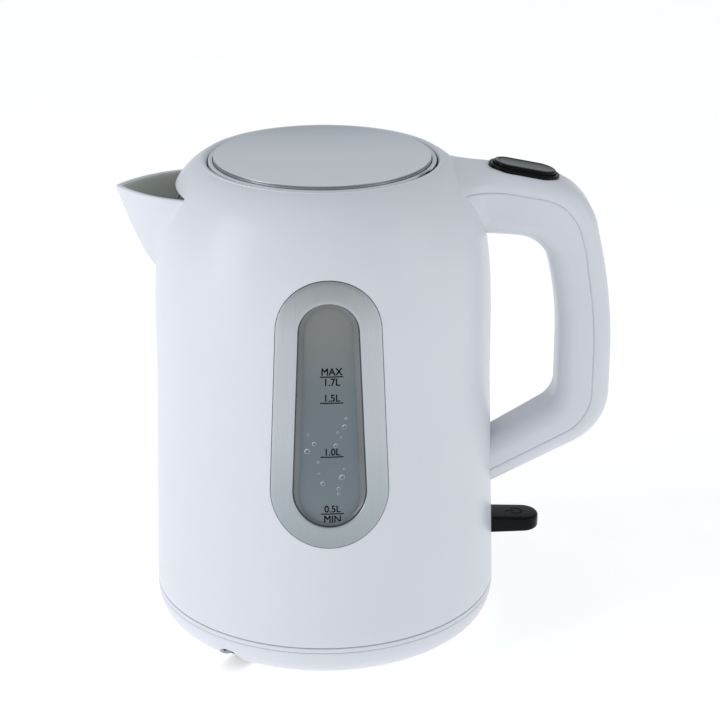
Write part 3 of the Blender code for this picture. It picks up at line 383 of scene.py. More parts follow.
class Finish:
    """A small builder for a procedural Principled material in object coordinates."""

    def __init__(self, name, colour, roughness, metallic=0.0, **constants):
        self.material = bpy.data.materials.new(name)
        self.material.use_nodes = True
        self.nodes = self.material.node_tree.nodes
        self.link = self.material.node_tree.links.new
        self.shader = self.nodes["Principled BSDF"]
        set_inputs(self.shader, {"Base Color": (*colour, 1.0), "Roughness": roughness,
                                 "Metallic": metallic})
        set_inputs(self.shader, {key.replace("_", " "): constants[key] for key in constants})
        self.place = self.node("TexCoord").outputs["Object"]

    def node(self, kind, sources={}, values={}, **settings):
        """A shader node with its settings, the values it holds and what feeds it."""
        made = self.nodes.new("ShaderNode" + kind)
        for key, setting in settings.items():
            setattr(made, key, setting)
        set_inputs(made, values)
        for key, source in sources.items():
            self.link(source, made.inputs[key])
        return made

    def feed(self, socket, source):
        self.link(source, self.shader.inputs[socket])

    def stretched(self, scale):
        return self.node("Mapping", {"Vector": self.place}, {"Scale": scale}).outputs["Vector"]

    def distance_from(self, centre):
        """Distance from an upright axis, for circular grain."""
        last = self.place
        for operation, value in (("SUBTRACT", centre), ("MULTIPLY", (1.0, 1.0, 0.0))):
            step = self.node("VectorMath", {0: last}, {1: value}, operation=operation)
            last = step.outputs[0]
        return self.node("VectorMath", {0: last}, operation="LENGTH").outputs["Value"]

    def noise(self, vector, scale, detail=3.0, rough=0.5, one_d=False):
        made = self.node("TexNoise", {"W" if one_d else "Vector": vector},
                         {"Detail": detail, "Roughness": rough, "Scale": scale},
                         noise_dimensions="1D" if one_d else "3D")
        return made.outputs[0]

    def ramp(self, factor, colours):
        """Colour stops, each a (share, colour) pair, along a factor."""
        made = self.node("ValToRGB", {"Fac": factor})
        stops = made.color_ramp.elements
        while len(stops) < len(colours):
            stops.new(0.5)
        for stop, (share, colour) in zip(stops, colours):
            stop.position = share
            stop.color = (*colour, 1.0)
        return made.outputs["Color"]

    def painted_light_along(self, low, high, colours, axis="Z"):
        """Colour stops between two places on an axis, in object coordinates: painted light and
        shade.
        """
        parts = self.node("SeparateXYZ", {0: self.place})
        ranged = self.node("MapRange", {"Value": parts.outputs[axis]},
                           {"From Min": low * MM, "From Max": high * MM})
        return self.ramp(ranged.outputs["Result"], colours)

    def blend_colours(self, factor, dark, light, low=0.35, high=0.65):
        self.feed("Base Color", self.ramp(factor, ((low, dark), (high, light))))

    def vary_roughness(self, factor, low, high):
        ranged = self.node("MapRange", {"Value": factor}, {
            "From Min": 0.3, "From Max": 0.7, "To Min": low, "To Max": high})
        self.feed("Roughness", ranged.outputs["Result"])

    def grained(self, colours, grain, share):
        """Colours with a share of a grain multiplied in."""
        mix = self.node("Mix", {"A": colours, "B": grain}, {"Factor": share}, data_type="RGBA",
                        blend_type="MULTIPLY")
        self.feed("Base Color", mix.outputs["Result"])

    def relief(self, factor, strength, distance):
        bump = self.node("Bump", {"Height": factor}, {"Strength": strength, "Distance": distance})
        self.feed("Normal", bump.outputs["Normal"])


def moulded(name, dark, light, roughness, grain=700.0, relief=0.10, **constants):
    """Moulded plastic: cloudy colour, uneven gloss and a very fine orange peel."""
    made = Finish(name, light, roughness, **constants)
    cloud = made.noise(made.place, 22.0)
    made.blend_colours(cloud, dark, light)
    made.vary_roughness(made.noise(made.place, 90.0), roughness * 0.92, roughness * 1.08)
    made.relief(made.noise(made.place, grain, 2.0), relief, 0.00003)
    return made.material


def brushed(name, dark, light, roughness, scale):
    """Metal brushed in one direction, with streaks that catch the light unevenly."""
    made = Finish(name, light, roughness, metallic=1.0)
    fine = made.noise(made.stretched(scale), 1.0, 4.0, 0.7)
    made.blend_colours(fine, dark, light, 0.3, 0.7)
    made.vary_roughness(fine, roughness * 0.8, roughness * 1.25)
    made.relief(fine, 0.12, 0.00002)
    return made.material


def turned(name, dark, light, roughness, centre):
    """Metal with circular grain round an upright axis."""
    made = Finish(name, light, roughness, metallic=1.0)
    rings = made.noise(made.distance_from(centre), 2600.0, 3.0, 0.6, one_d=True)
    made.blend_colours(rings, dark, light, 0.3, 0.7)
    made.vary_roughness(rings, roughness * 0.8, roughness * 1.25)
    made.relief(rings, 0.1, 0.00002)
    return made.material


def lid_steel():
    """Brushed disc with painted reflection and shade: lighter at its near side, deeper in tone
    towards its far side.
    """
    made = Finish("lid_steel", (0.85, 0.86, 0.88), 0.36, metallic=1.0)
    fine = made.noise(made.stretched((20.0, 1500.0, 20.0)), 1.0, 4.0, 0.7)
    # Painted reflection and shade: the disc's colour falls from light at the near side to dark at
    # the far side.
    colours = made.painted_light_along(-50.0, 50.0, (
        (0.0, (0.89, 0.90, 0.93)), (0.5, (0.83, 0.86, 0.90)), (0.8, (0.71, 0.755, 0.80)),
        (1.0, (0.56, 0.61, 0.65))), "Y")
    made.grained(colours, fine, 0.1)
    made.vary_roughness(fine, 0.29, 0.45)
    made.relief(fine, 0.12, 0.00002)
    return made.material


def smoky_lens():
    """See-through smoky plastic with painted reflection: lighter at the top and bluer at the
    bottom.
    """
    made = Finish("smoky_lens", (0.16, 0.19, 0.20), 0.12, Alpha=0.93, Specular_IOR_Level=0.3)
    # Painted reflection: lighter towards the top of the pane, bluer towards its foot.
    colours = made.painted_light_along(80.0, 185.0, (
        (0.0, (0.205, 0.240, 0.262)), (0.35, (0.166, 0.210, 0.232)), (0.62, (0.174, 0.214, 0.224)),
        (0.82, (0.222, 0.240, 0.236)), (1.0, (0.262, 0.262, 0.250))))
    made.grained(colours, made.noise(made.place, 30.0), 0.12)
    made.vary_roughness(made.noise(made.place, 60.0), 0.10, 0.16)
    made.relief(made.noise(made.place, 300.0, 2.0), 0.04, 0.00002)
    return made.material


def satin_trim():
    """Satin metal with a fine upright grain, and painted reflection and shade from its foot to its
    head.
    """
    made = Finish("trim_silver", (0.5, 0.51, 0.52), 0.38, metallic=1.0)
    grain = made.noise(made.stretched((1100.0, 1100.0, 12.0)), 1.0, 4.0, 0.6)
    # Painted reflection and shade: dark at the foot, lightest in the middle, dimmer at the head.
    colours = made.painted_light_along(70.0, 196.0, (
        (0.0, (0.355, 0.40, 0.415)), (0.14, (0.425, 0.47, 0.49)), (0.4, (0.525, 0.555, 0.58)),
        (0.8, (0.535, 0.56, 0.58)), (1.0, (0.42, 0.435, 0.44))))
    made.grained(colours, grain, 0.16)
    made.vary_roughness(grain, 0.34, 0.42)
    made.relief(grain, 0.06, 0.00002)
    return made.material


def mesh_screen():
    """Fine woven screen: wires drawn as waves on one plate, dark between them."""
    made = Finish("filter_screen", (0.6, 0.61, 0.62), 0.3, metallic=1.0)
    waves = []
    for direction in ("Y", "Z"):
        wave = made.node("TexWave", {"Vector": made.place}, {"Scale": 260.0},
                         wave_type="BANDS", bands_direction=direction)
        waves.append(wave.outputs["Fac"])
    most = made.node("Math", {0: waves[0], 1: waves[1]}, operation="MAXIMUM").outputs[0]
    made.relief(most, 0.5, 0.0002)
    made.blend_colours(most, (0.08, 0.085, 0.09), (0.62, 0.63, 0.64), 0.45, 0.75)
    return made.material


WHITE = moulded("white_gloss", (0.700, 0.716, 0.758), (0.712, 0.728, 0.770), 0.30, relief=0.04,
                Specular_IOR_Level=0.38)
WHITE_INSIDE = moulded("white_inside", (0.66, 0.675, 0.69), (0.70, 0.715, 0.725), 0.42, relief=0.05)
# Painted shade: a darker, greener white for the spout's channel, standing in for the shade inside
# it.
CHANNEL_PAINTED_SHADE = moulded("white_channel_painted_shade", (0.50, 0.53, 0.475), (0.54, 0.57, 0.51), 0.42, relief=0.05)
BLACK = moulded("black_gloss", (0.0015, 0.002, 0.003), (0.003, 0.0035, 0.005), 0.13, grain=900.0,
                relief=0.05, Specular_IOR_Level=0.12)
# Satin finish, and a colour lighter than the black: the lighter colour is painted sheen for the
# cap's upward faces.
CHARCOAL_PAINTED_SHEEN = moulded("charcoal_satin_painted_sheen", (0.052, 0.066, 0.062), (0.066, 0.082, 0.078), 0.26,
                   grain=1100.0, relief=0.08, Specular_IOR_Level=0.45)
BLACK_SATIN = moulded("black_satin", (0.010, 0.011, 0.012), (0.018, 0.019, 0.020), 0.34,
                      grain=1100.0, relief=0.2, Specular_IOR_Level=0.35)
GREY = moulded("grey_moulding", (0.27, 0.28, 0.29), (0.32, 0.33, 0.34), 0.5, relief=0.2)
SILICONE = moulded("pale_silicone", (0.66, 0.66, 0.64), (0.74, 0.74, 0.72), 0.55, relief=0.15,
                   Subsurface_Weight=0.1)
RUBBER = moulded("black_rubber", (0.03, 0.03, 0.032), (0.05, 0.05, 0.052), 0.8, grain=1500.0,
                 relief=0.4)
INK = moulded("black_ink", (0.001, 0.001, 0.0015), (0.003, 0.003, 0.0035), 0.7, grain=3000.0,
              Specular_IOR_Level=0.05)
BUBBLE_INK = moulded("pale_ink", (0.46, 0.52, 0.55), (0.60, 0.66, 0.69), 0.5, grain=3000.0,
                     Specular_IOR_Level=0.2)
LENS = smoky_lens()
# Painted shade: the bevel between frame and pane is a real step, coloured darker than the pane as
# the recess's shadow.
BEVEL_PAINTED_SHADE = moulded("window_edge_painted_shade", (0.135, 0.148, 0.150), (0.180, 0.200, 0.207), 0.22, relief=0.05)
SCREEN = mesh_screen()
TRIM = satin_trim()
DISC = lid_steel()
# Painted shade: a darker steel for the lid disc's upright side faces.
DISC_SIDE_PAINTED_SHADE = brushed("lid_edge_painted_shade", (0.30, 0.325, 0.33), (0.40, 0.43, 0.435), 0.3,
                    (20.0, 20.0, 1800.0))
STEEL = brushed("plain_steel", (0.5, 0.51, 0.52), (0.6, 0.61, 0.62), 0.3, (300.0, 300.0, 300.0))
PLATE = turned("plate_steel", (0.46, 0.47, 0.48), (0.58, 0.59, 0.6), 0.28, (AXIS_X, 0.0, 0.0))
ALUMINIUM = brushed("cast_aluminium", (0.55, 0.56, 0.57), (0.67, 0.68, 0.69), 0.45,
                    (240.0, 240.0, 240.0))
BRASS = brushed("rolled_brass", (0.55, 0.40, 0.16), (0.68, 0.52, 0.24), 0.32, (900.0, 60.0, 60.0))

BY_SLOT = {
    "white_plastic": WHITE_INSIDE,
    "black_plastic": BLACK_SATIN,
    "grey_plastic": GREY,
    "smoke_plastic": LENS,
    "silver_trim": TRIM,
    "brushed_steel": STEEL,
    "aluminium": ALUMINIUM,
    "brass": BRASS,
    "silicone": SILICONE,
    "rubber": RUBBER,
}
for part in frame["record"]["subparts"]:
    node = frame["nodes"][part["node"]]
    node.data.materials.clear()
    node.data.materials.append(BY_SLOT[part["material_slot"]])


# ---------------- jug body

def jug_body():
    """The white wall with its foot, shoulder and mouth, and everything cut into it."""
    start = 20.2
    foot = [(79.4, 19.05), (81.3, 19.05), (81.7, 19.12), (81.9, 19.35), (body_radius(start), start)]
    heights = [start + (SHOULDER_Z - start) * i / 16 for i in range(1, 16)]
    side = [(body_radius(z), z) for z in heights]
    over = shoulder_curve(LIP_Z, SHOULDER_R, 55.6, 64)
    lip = arc((MOUTH_R + 2.2, LIP_Z - 2.35), 2.2, 75.0, 180.0, 10)
    collar = [(MOUTH_R, 220.0), (MOUTH_R, COLLAR_BOTTOM_Z), (COLLAR_R, COLLAR_BOTTOM_Z)]
    under = list(reversed(shoulder_curve(LIP_Z - 3.2, SHOULDER_R - WALL, COLLAR_R + 0.2, 40)))
    inside = [(body_radius(z) - WALL, z) for z in (110.0, 95.0, 80.0, 66.0)]
    ledge = [(78.0, 64.5), (72.5, 62.5), (72.5, 60.0), (77.6, 60.0), (79.0, BODY_FOOT_Z)]
    profile = foot + side + over + lip + collar + under + inside + ledge
    room = 0.32
    recess = wall_panel(FACING, lambda z: stadium_half_width(z, TRIM_R, room),
                        oval_rows(TRIM_R, room), -1.6, 4.0, 16)
    under_trim = 2.0
    opening = wall_panel(FACING, lambda z: stadium_half_width(z, LENS_R, under_trim),
                         oval_rows(LENS_R, under_trim), -9.0, 4.0, 10)
    x, z = SWITCH_PIVOT
    half = SWITCH_HALF_W + 0.7
    sill, head = z - 7.5, z + 4.8
    slot = rounded([(-half, sill, 1.2), (half, sill, 1.2), (half, head, 1.2), (-half, head, 1.2)])
    slot = loft([[(px, y, height) for y, height in slot] for px in (x + 2.0, x + 16.0)])
    low, high = SPOUT_HOLE_Z
    high += 0.6
    narrow, wide = (w + SPOUT_HOLE_MARGIN for w in SPOUT_HOLE_HALF_W)
    hole_rows = [low + (high - low) * i / 8 for i in range(9)]
    hole = wall_panel(pi, lambda z: narrow + (wide - narrow) * (z - low) / (high - low),
                      hole_rows, -9.0, 2.0, 10)
    bead_z = high + 1.2
    rolled = []
    for i in range(25):
        s = (wide - 0.5) * (i / 12 - 1)
        radius = 0.4 + 2.1 * sqrt(max(0.0, 1.0 - (s / (wide - 0.4)) ** 4))
        ring = []
        for degrees in range(0, 360, 15):
            out, up = cos(radians(degrees)), sin(radians(degrees))
            x, y, _ = wall_point(pi, s, bead_z, radius * (out - 1.17))
            ring.append((x, y, bead_z + radius * up))
        rolled.append(ring)
    steps = [
        (recess, CUT),
        (opening, CUT),
        (hole, CUT),
        (loft(rolled), JOIN),
        (slot, CUT),
        (block((50.0, -5.0, 208.0), (57.0, 5.0, 222.8)), CUT),
        (block((60.0, -4.0, 214.8), (76.0, 4.0, 219.0)), CUT),
    ]
    piece("jug_body", lathe(profile), WHITE, "jug", ["jug_shell"], steps=steps)


def keel_reach(z):
    share = (z - KEEL_FOOT[1]) / (KEEL_TIP_Z - KEEL_FOOT[1])
    share = max(share, 0.0)
    return KEEL_FOOT[0] + (SPOUT_REACH - KEEL_FOOT[0]) * share ** KEEL_POWER


def beak_radius(angle, z, inside=False):
    """Distance from the jug's axis to the spout's bowed side, angle measured from -X."""
    share = max((z - KEEL_FOOT[1]) / (KEEL_TIP_Z - KEEL_FOOT[1]), 0.0)
    half = SPOUT_HALF_W * share ** SPOUT_WIDTH_POWER
    reach = keel_reach(z)
    if inside:
        half = max(half - SPOUT_WALL, 0.3)
        reach -= SPOUT_TIP_WALL
    root = body_radius(z) - SPOUT_ROOT
    slope = tan(abs(angle))
    if half <= root * slope:
        return min(half / max(sin(abs(angle)), 1e-6), reach)
    low, high = 0.0, 1.0
    for _ in range(22):
        step = (low + high) / 2
        if half * (1.0 - step ** 2) ** SPOUT_BOW_POWER > (root + (reach - root) * step) * slope:
            low = step
        else:
            high = step
    return (root + (reach - root) * low) / cos(angle)


def smooth_max(a, b, blend):
    """The larger of two values, rounded where they are nearly equal."""
    share = max(blend - abs(a - b), 0.0) / blend
    return max(a, b) + share * share * blend / 4


def spout_skin(angle, z):
    """Radius of the spout's outer skin, which runs out into the wall beside the beak."""
    up = held((z - KEEL_FOOT[1]) / 38.0)
    near_rim = held((z - 203.0) / 13.0)
    blend = (1.0 + 8.0 * up) * (1.0 - 0.72 * near_rim * near_rim)
    wall = body_radius(z)
    beak = beak_radius(angle, z)
    sink = UNDER_SKIN + 0.6 * held((wall - beak - blend) / 12.0)
    return smooth_max(wall - sink, beak, blend)


def rim_height(angle):
    """The rim falls gently from the tip towards the wall."""
    z = KEEL_TIP_Z
    for _ in range(4):
        reach = min(spout_skin(angle, z - 0.5) * cos(angle), SPOUT_REACH)
        z = KEEL_TIP_Z - RIM_SLOPE * (SPOUT_REACH - reach)
    return z


def spout():
    """A beak that grows out of the wall: outer skin, rounded rim and the channel inside."""
    wide = radians(34.0)
    columns = 140
    edge = 0.8
    floor = 181.0
    over = [radians(a) for a in (20, 40, 60, 80, 90)]
    rings = []
    for i in range(columns + 1):
        share = 2 * i / columns - 1
        angle = wide * share * (0.3 + 0.7 * abs(share))
        top = rim_height(angle)
        ledge = top - edge
        rows = [172.0, 174.5] + [KEEL_FOOT[1] - 1.4 + 0.35 * k for k in range(12)]
        start = rows[-1]
        rows += [start + (ledge - start) * k / 38 for k in range(1, 39)]
        path = [(spout_skin(angle, z), z) for z in rows]
        outer = path[-1][0]
        inner = max(beak_radius(angle, top, True), body_radius(top) - DUCT_DEPTH)
        round_r = max(min(edge, (outer - inner) * 0.45), 0.02)
        path += [(outer + round_r * (cos(a) - 1.0), ledge + edge * sin(a)) for a in over]
        path += [(inner + round_r * (1.0 - cos(a)), ledge + edge * sin(a)) for a in reversed(over)]
        for k in range(25):
            z = ledge + (floor - ledge) * k / 24
            path.append((max(beak_radius(angle, z, True), body_radius(z) - DUCT_DEPTH), z))
        rings.append([(-r * cos(angle), -r * sin(angle), z) for r, z in path])

    def in_shaded_channel(face):
        outward = Vector((face.center.x - AXIS_X, face.center.y, 0.0)).normalized()
        return face.normal.dot(outward) < -0.25 and face.center.z < (KEEL_TIP_Z - 0.9) * MM

    made = piece("spout", loft(rings), WHITE, "jug", sharp=50.0)
    # Painted shade: the channel's inward faces get the darker white.
    second_finish(made, CHANNEL_PAINTED_SHADE, in_shaded_channel)


# ---------------- window

def window():
    """Silver frame, smoky pane and the bevel between them, darkened with painted shade."""
    outer = stadium(TRIM_R, 0.0, 48, 16)
    inner = stadium(LENS_R, 0.0, 48, 16)
    section = [(0.0, -1.4), (0.0, 0.08), (0.012, 0.26)]
    section += [(share, 0.35) for share in (0.04, 0.2, 0.4, 0.6, 0.8, 0.95)]
    section += [(0.985, 0.25), (1.0, 0.05), (1.03, -2.2), (1.03, -3.0), (0.85, -3.0),
                (0.6, -1.4), (0.3, -1.4)]
    piece("window_frame", wall_band(FACING, outer, inner, section), TRIM, "jug",
          ["window_trim"], sharp=28.0)
    lens = wall_panel(FACING, lambda z: stadium_half_width(z, LENS_R, 1.4), oval_rows(LENS_R, 1.4),
                      -3.8, LENS_DEPTH, 24)
    piece("window_pane", lens, LENS, "jug", ["window_lens"])
    edge_outer = stadium(LENS_R, -0.2, 48, 16)
    edge_inner = []
    # Painted shade: the dark band is wide at the top and sides and narrow at the foot, where the
    # recess's shadow falls.
    for (s0, z0), (s1, z1) in zip(stadium(LENS_R, -2.7, 48, 16), stadium(LENS_R, -1.1, 48, 16)):
        t = held((WINDOW_LOW_Z - z1) / LENS_R[0] * 2.0 - 0.2)
        edge_inner.append((s0 + (s1 - s0) * t, z0 + (z1 - z0) * t))
    section = [(share, LENS_DEPTH + rise) for share, rise in (
        (0.0, -0.4), (0.0, 1.35), (0.05, 1.5), (0.16, 1.5), (0.24, 1.3), (0.86, 0.3),
        (0.97, 0.25), (1.0, 0.15), (1.0, -0.4))]
    piece("window_bevel_painted_shade", wall_band(FACING, edge_outer, edge_inner, section), BEVEL_PAINTED_SHADE, "jug",
          sharp=35.0)


def letters(text, name):
    """Flat lettering as points in millimetres, drawn with the built-in typeface."""
    curve = bpy.data.curves.new(name, "FONT")
    curve.body = text
    curve.align_x = "CENTER"
    curve.resolution_u = 6
    holder = bpy.data.objects.new(name, curve)
    bpy.context.scene.collection.objects.link(holder)
    bpy.context.view_layer.update()
    graph = bpy.context.evaluated_depsgraph_get()
    made = bpy.data.meshes.new_from_object(holder.evaluated_get(graph))
    bpy.data.objects.remove(holder)
    return made


def printed(name, text, z_low, lift=0.03, middle=1.2, bold=0.07):
    """Lettering printed on the pane, foot at z_low, thickened by four slightly shifted copies."""
    flat = letters(text, name)
    low = min(v.co.y for v in flat.vertices)
    high = max(v.co.y for v in flat.vertices)
    scale = CAPITAL_HEIGHT / (high - low)
    mesh = bmesh.new()
    for i, (across, up) in enumerate(((-1, -1), (1, -1), (1, 1), (-1, 1))):
        first = len(mesh.verts)
        mesh.from_mesh(flat)
        mesh.verts.ensure_lookup_table()
        for vert in mesh.verts[first:]:
            s = middle + vert.co.x * scale * 0.94 + across * bold
            z = z_low + (vert.co.y - low) * scale + up * bold * 0.8
            vert.co = at(*wall_point(FACING, s, z, LENS_DEPTH + lift + 0.006 * i))
    piece(name, mesh, INK, "jug")


def mark_line(name, z, width=10.6, thick=0.55, middle=1.2, lift=0.03):
    start = middle - width / 2
    rings = []
    for row in (z - thick / 2, z + thick / 2):
        rings.append([wall_point(FACING, start + width * i / 10, row, LENS_DEPTH + lift)
                      for i in range(11)])
    piece(name, loft(rings, caps=False, wrap=False), INK, "jug")


def litre_marks():
    """Generic marks: lettering above or below a short line."""
    for name, text, line_z, above in (
            ("mark_max", "MAX", MAX_LINE_Z, True),
            ("mark_1_7", "1.7L", MAX_LINE_Z, False),
            ("mark_1_5", "1.5L", LITRE_AND_HALF_LINE_Z, True),
            ("mark_1_0", "1.0L", LITRE_LINE_Z, True),
            ("mark_0_5", "0.5L", MIN_LINE_Z, True),
            ("mark_min", "MIN", MIN_LINE_Z, False)):
        printed(name, text, line_z + 0.75 if above else line_z - 0.85 - CAPITAL_HEIGHT)
    lines = (MAX_LINE_Z, LITRE_AND_HALF_LINE_Z, LITRE_LINE_Z, MIN_LINE_Z)
    for i, line_z in enumerate(lines):
        mark_line(f"mark_line_{i + 1}", line_z)


# Distance round the wall, height and size of each printed bubble
BUBBLES = (
    (-10.3, 115.4, 1.5), (-7.0, 119.0, 1.15), (-9.5, 123.1, 0.7), (-5.2, 110.2, 0.7),
    (-4.8, 104.7, 0.65), (-3.2, 100.0, 1.25), (5.7, 102.8, 1.6), (4.0, 97.5, 0.95),
    (4.0, 94.8, 0.8), (6.7, 106.8, 0.6), (2.9, 118.1, 1.15), (3.9, 124.2, 0.8),
    (6.9, 126.9, 1.3), (7.8, 130.6, 0.9), (5.3, 121.9, 0.7),
)


def bubbles():
    """Small printed bubbles: rings that are thicker on the lit side."""
    for i, (s, z, size) in enumerate(BUBBLES):
        radius = size * 0.82
        rings = []
        for k in range(33):
            angle = radians(135.0 + 360.0 * k / 32)
            thick = radius * (0.10 + 0.34 * cos(pi * k / 32) ** 6)
            ring = []
            for r in (radius - thick, radius):
                ring.append(wall_point(FACING, s + r * cos(angle), z + r * sin(angle),
                                       LENS_DEPTH + 0.02))
            rings.append(ring)
        mesh = loft(rings, caps=False, wrap=False)
        piece(f"bubble_{i + 1}", mesh, BUBBLE_INK, "jug")


# ---------------- handle

def fill_out(pairs, longest=1.8):
    """Insert rings where neighbours are far apart."""
    result = [pairs[0]]
    for (a0, b0), (a1, b1) in zip(pairs, pairs[1:]):
        gap = max((Vector(a1) - Vector(a0)).length, (Vector(b1) - Vector(b0)).length)
        count = max(1, int(gap / longest + 0.999))
        for i in range(1, count + 1):
            t = i / count
            result.append((tuple(Vector(a0).lerp(Vector(a1), t)),
                           tuple(Vector(b0).lerp(Vector(b1), t))))
    return result


def handle_pairs():
    """Matching points along the handle's inner and outer edge, from its top to its foot."""
    outer = [(46.0, 226.6, 0), (82.0, 223.0, 150), (122.7, 214.6, 29),
             (135.3, 158.4, 250), (135.3, 96.1, 29), (68.0, 62.3, 0)]
    inner = [(62.0, 193.9, 0), (82.0, 192.3, 60), (101.2, 190.7, 18),
             (110.4, 162.0, 150), (110.4, 109.6, 13), (68.0, 84.3, 0)]
    outer, inner = (rounded(corners, 14, closed=False) for corners in (outer, inner))
    return fill_out(list(zip(inner, outer)))


def flare(x, z):
    """How many times wider the handle is where its upper end runs into the wall in a fillet."""
    low, high = FLARE_Z
    rise = held((z - low) / (high - low))
    fall = held((z - 219.0) / 6.0)
    fillet = max(FLARE_R * rise * rise * (3.0 - 2.0 * rise) * (1.0 - 0.45 * fall), 0.1)
    wall = body_radius(z) - FLARE_SINK
    middle_y = HANDLE_HALF_W + fillet
    middle_x = sqrt((wall + fillet) ** 2 - middle_y ** 2)
    ahead = min(max(middle_x - x, 0.0), middle_x * fillet / (wall + fillet))
    return (middle_y - sqrt(fillet ** 2 - ahead ** 2)) / HANDLE_HALF_W


def handle_sweep(section):
    """A shell along the handle; section(depth, split) gives its points (across, outward)."""
    rings = []
    for (xi, zi), (xo, zo) in handle_pairs():
        inner = Vector((xi, 0.0, zi))
        across = Vector((xo, 0.0, zo)) - inner
        depth = across.length
        across.normalize()
        ring = []
        arm = held((zi - 170.0) / 20.0)
        for y, d in section(depth, depth * (HANDLE_SPLIT + 0.07 * arm * arm)):
            point = inner + across * d
            ring.append((point.x, y * flare(point.x, point.z), point.z))
        rings.append(ring)
    return loft(rings)


def body_core(shrink):
    """The jug's outside, drawn in by a hair, to end the handle inside the wall."""
    profile = [(0.0, 30.0), (body_radius(30.0) - shrink, 30.0)]
    profile += [(r - shrink, z) for r, z in shoulder_curve(LIP_Z, SHOULDER_R, 54.9, 48)]
    profile += [(0.0, LIP_Z)]
    return lathe(profile, 120)


def tilted(x, y, z):
    """A point drawn on the sloping top of the handle, under the button."""
    across = cos(BUTTON_TILT)
    drop = sin(BUTTON_TILT)
    return (BUTTON_X + x * across + z * drop, y, BUTTON_Z - x * drop + z * across)


def oblong_rings(levels, steps=24):
    rings = []
    for grow, z in levels:
        rings.append([tilted(x, y, z)
                      for x, y in oblong(BUTTON_LENGTH + grow, BUTTON_WIDTH + grow, steps)])
    return rings


def handle():
    """Two shells with a fine gap at their parting line, and a tongue that closes the gap."""
    half = HANDLE_HALF_W
    edge = 0.8
    gap = 0.04
    shrink = 0.8

    def cover(depth, split):
        low = split + gap
        outer = min(7.0, depth - low - edge - 0.2)
        return rounded([(half, low, edge), (half, depth, outer), (-half, depth, outer),
                        (-half, low, edge)], 9)

    def grip(_, split):
        high = split - gap
        return rounded([(half, high, edge), (half, 0.0, 9.0), (-half, 0.0, 9.0),
                        (-half, high, edge)], 9)

    def tongue(_, split):
        side = half - 0.6
        low, high = split - 2.5, split + 2.5
        return [(side, low), (side, high), (-side, high), (-side, low)]

    def well():
        return loft(oblong_rings([(0.8, -9.0), (0.8, 9.0)]))

    piece("handle_back", handle_sweep(cover), WHITE, "jug", ["handle_cover"],
          sharp=40.0, steps=[(body_core(shrink), CUT), (well(), CUT)])
    piece("handle_front", handle_sweep(grip), WHITE, "jug", ["handle_inner"],
          sharp=40.0, steps=[(body_core(shrink), CUT)])
    piece("handle_tongue", handle_sweep(tongue), WHITE, "jug",
          steps=[(body_core(shrink), CUT), (well(), CUT)])


# ---------------- lid

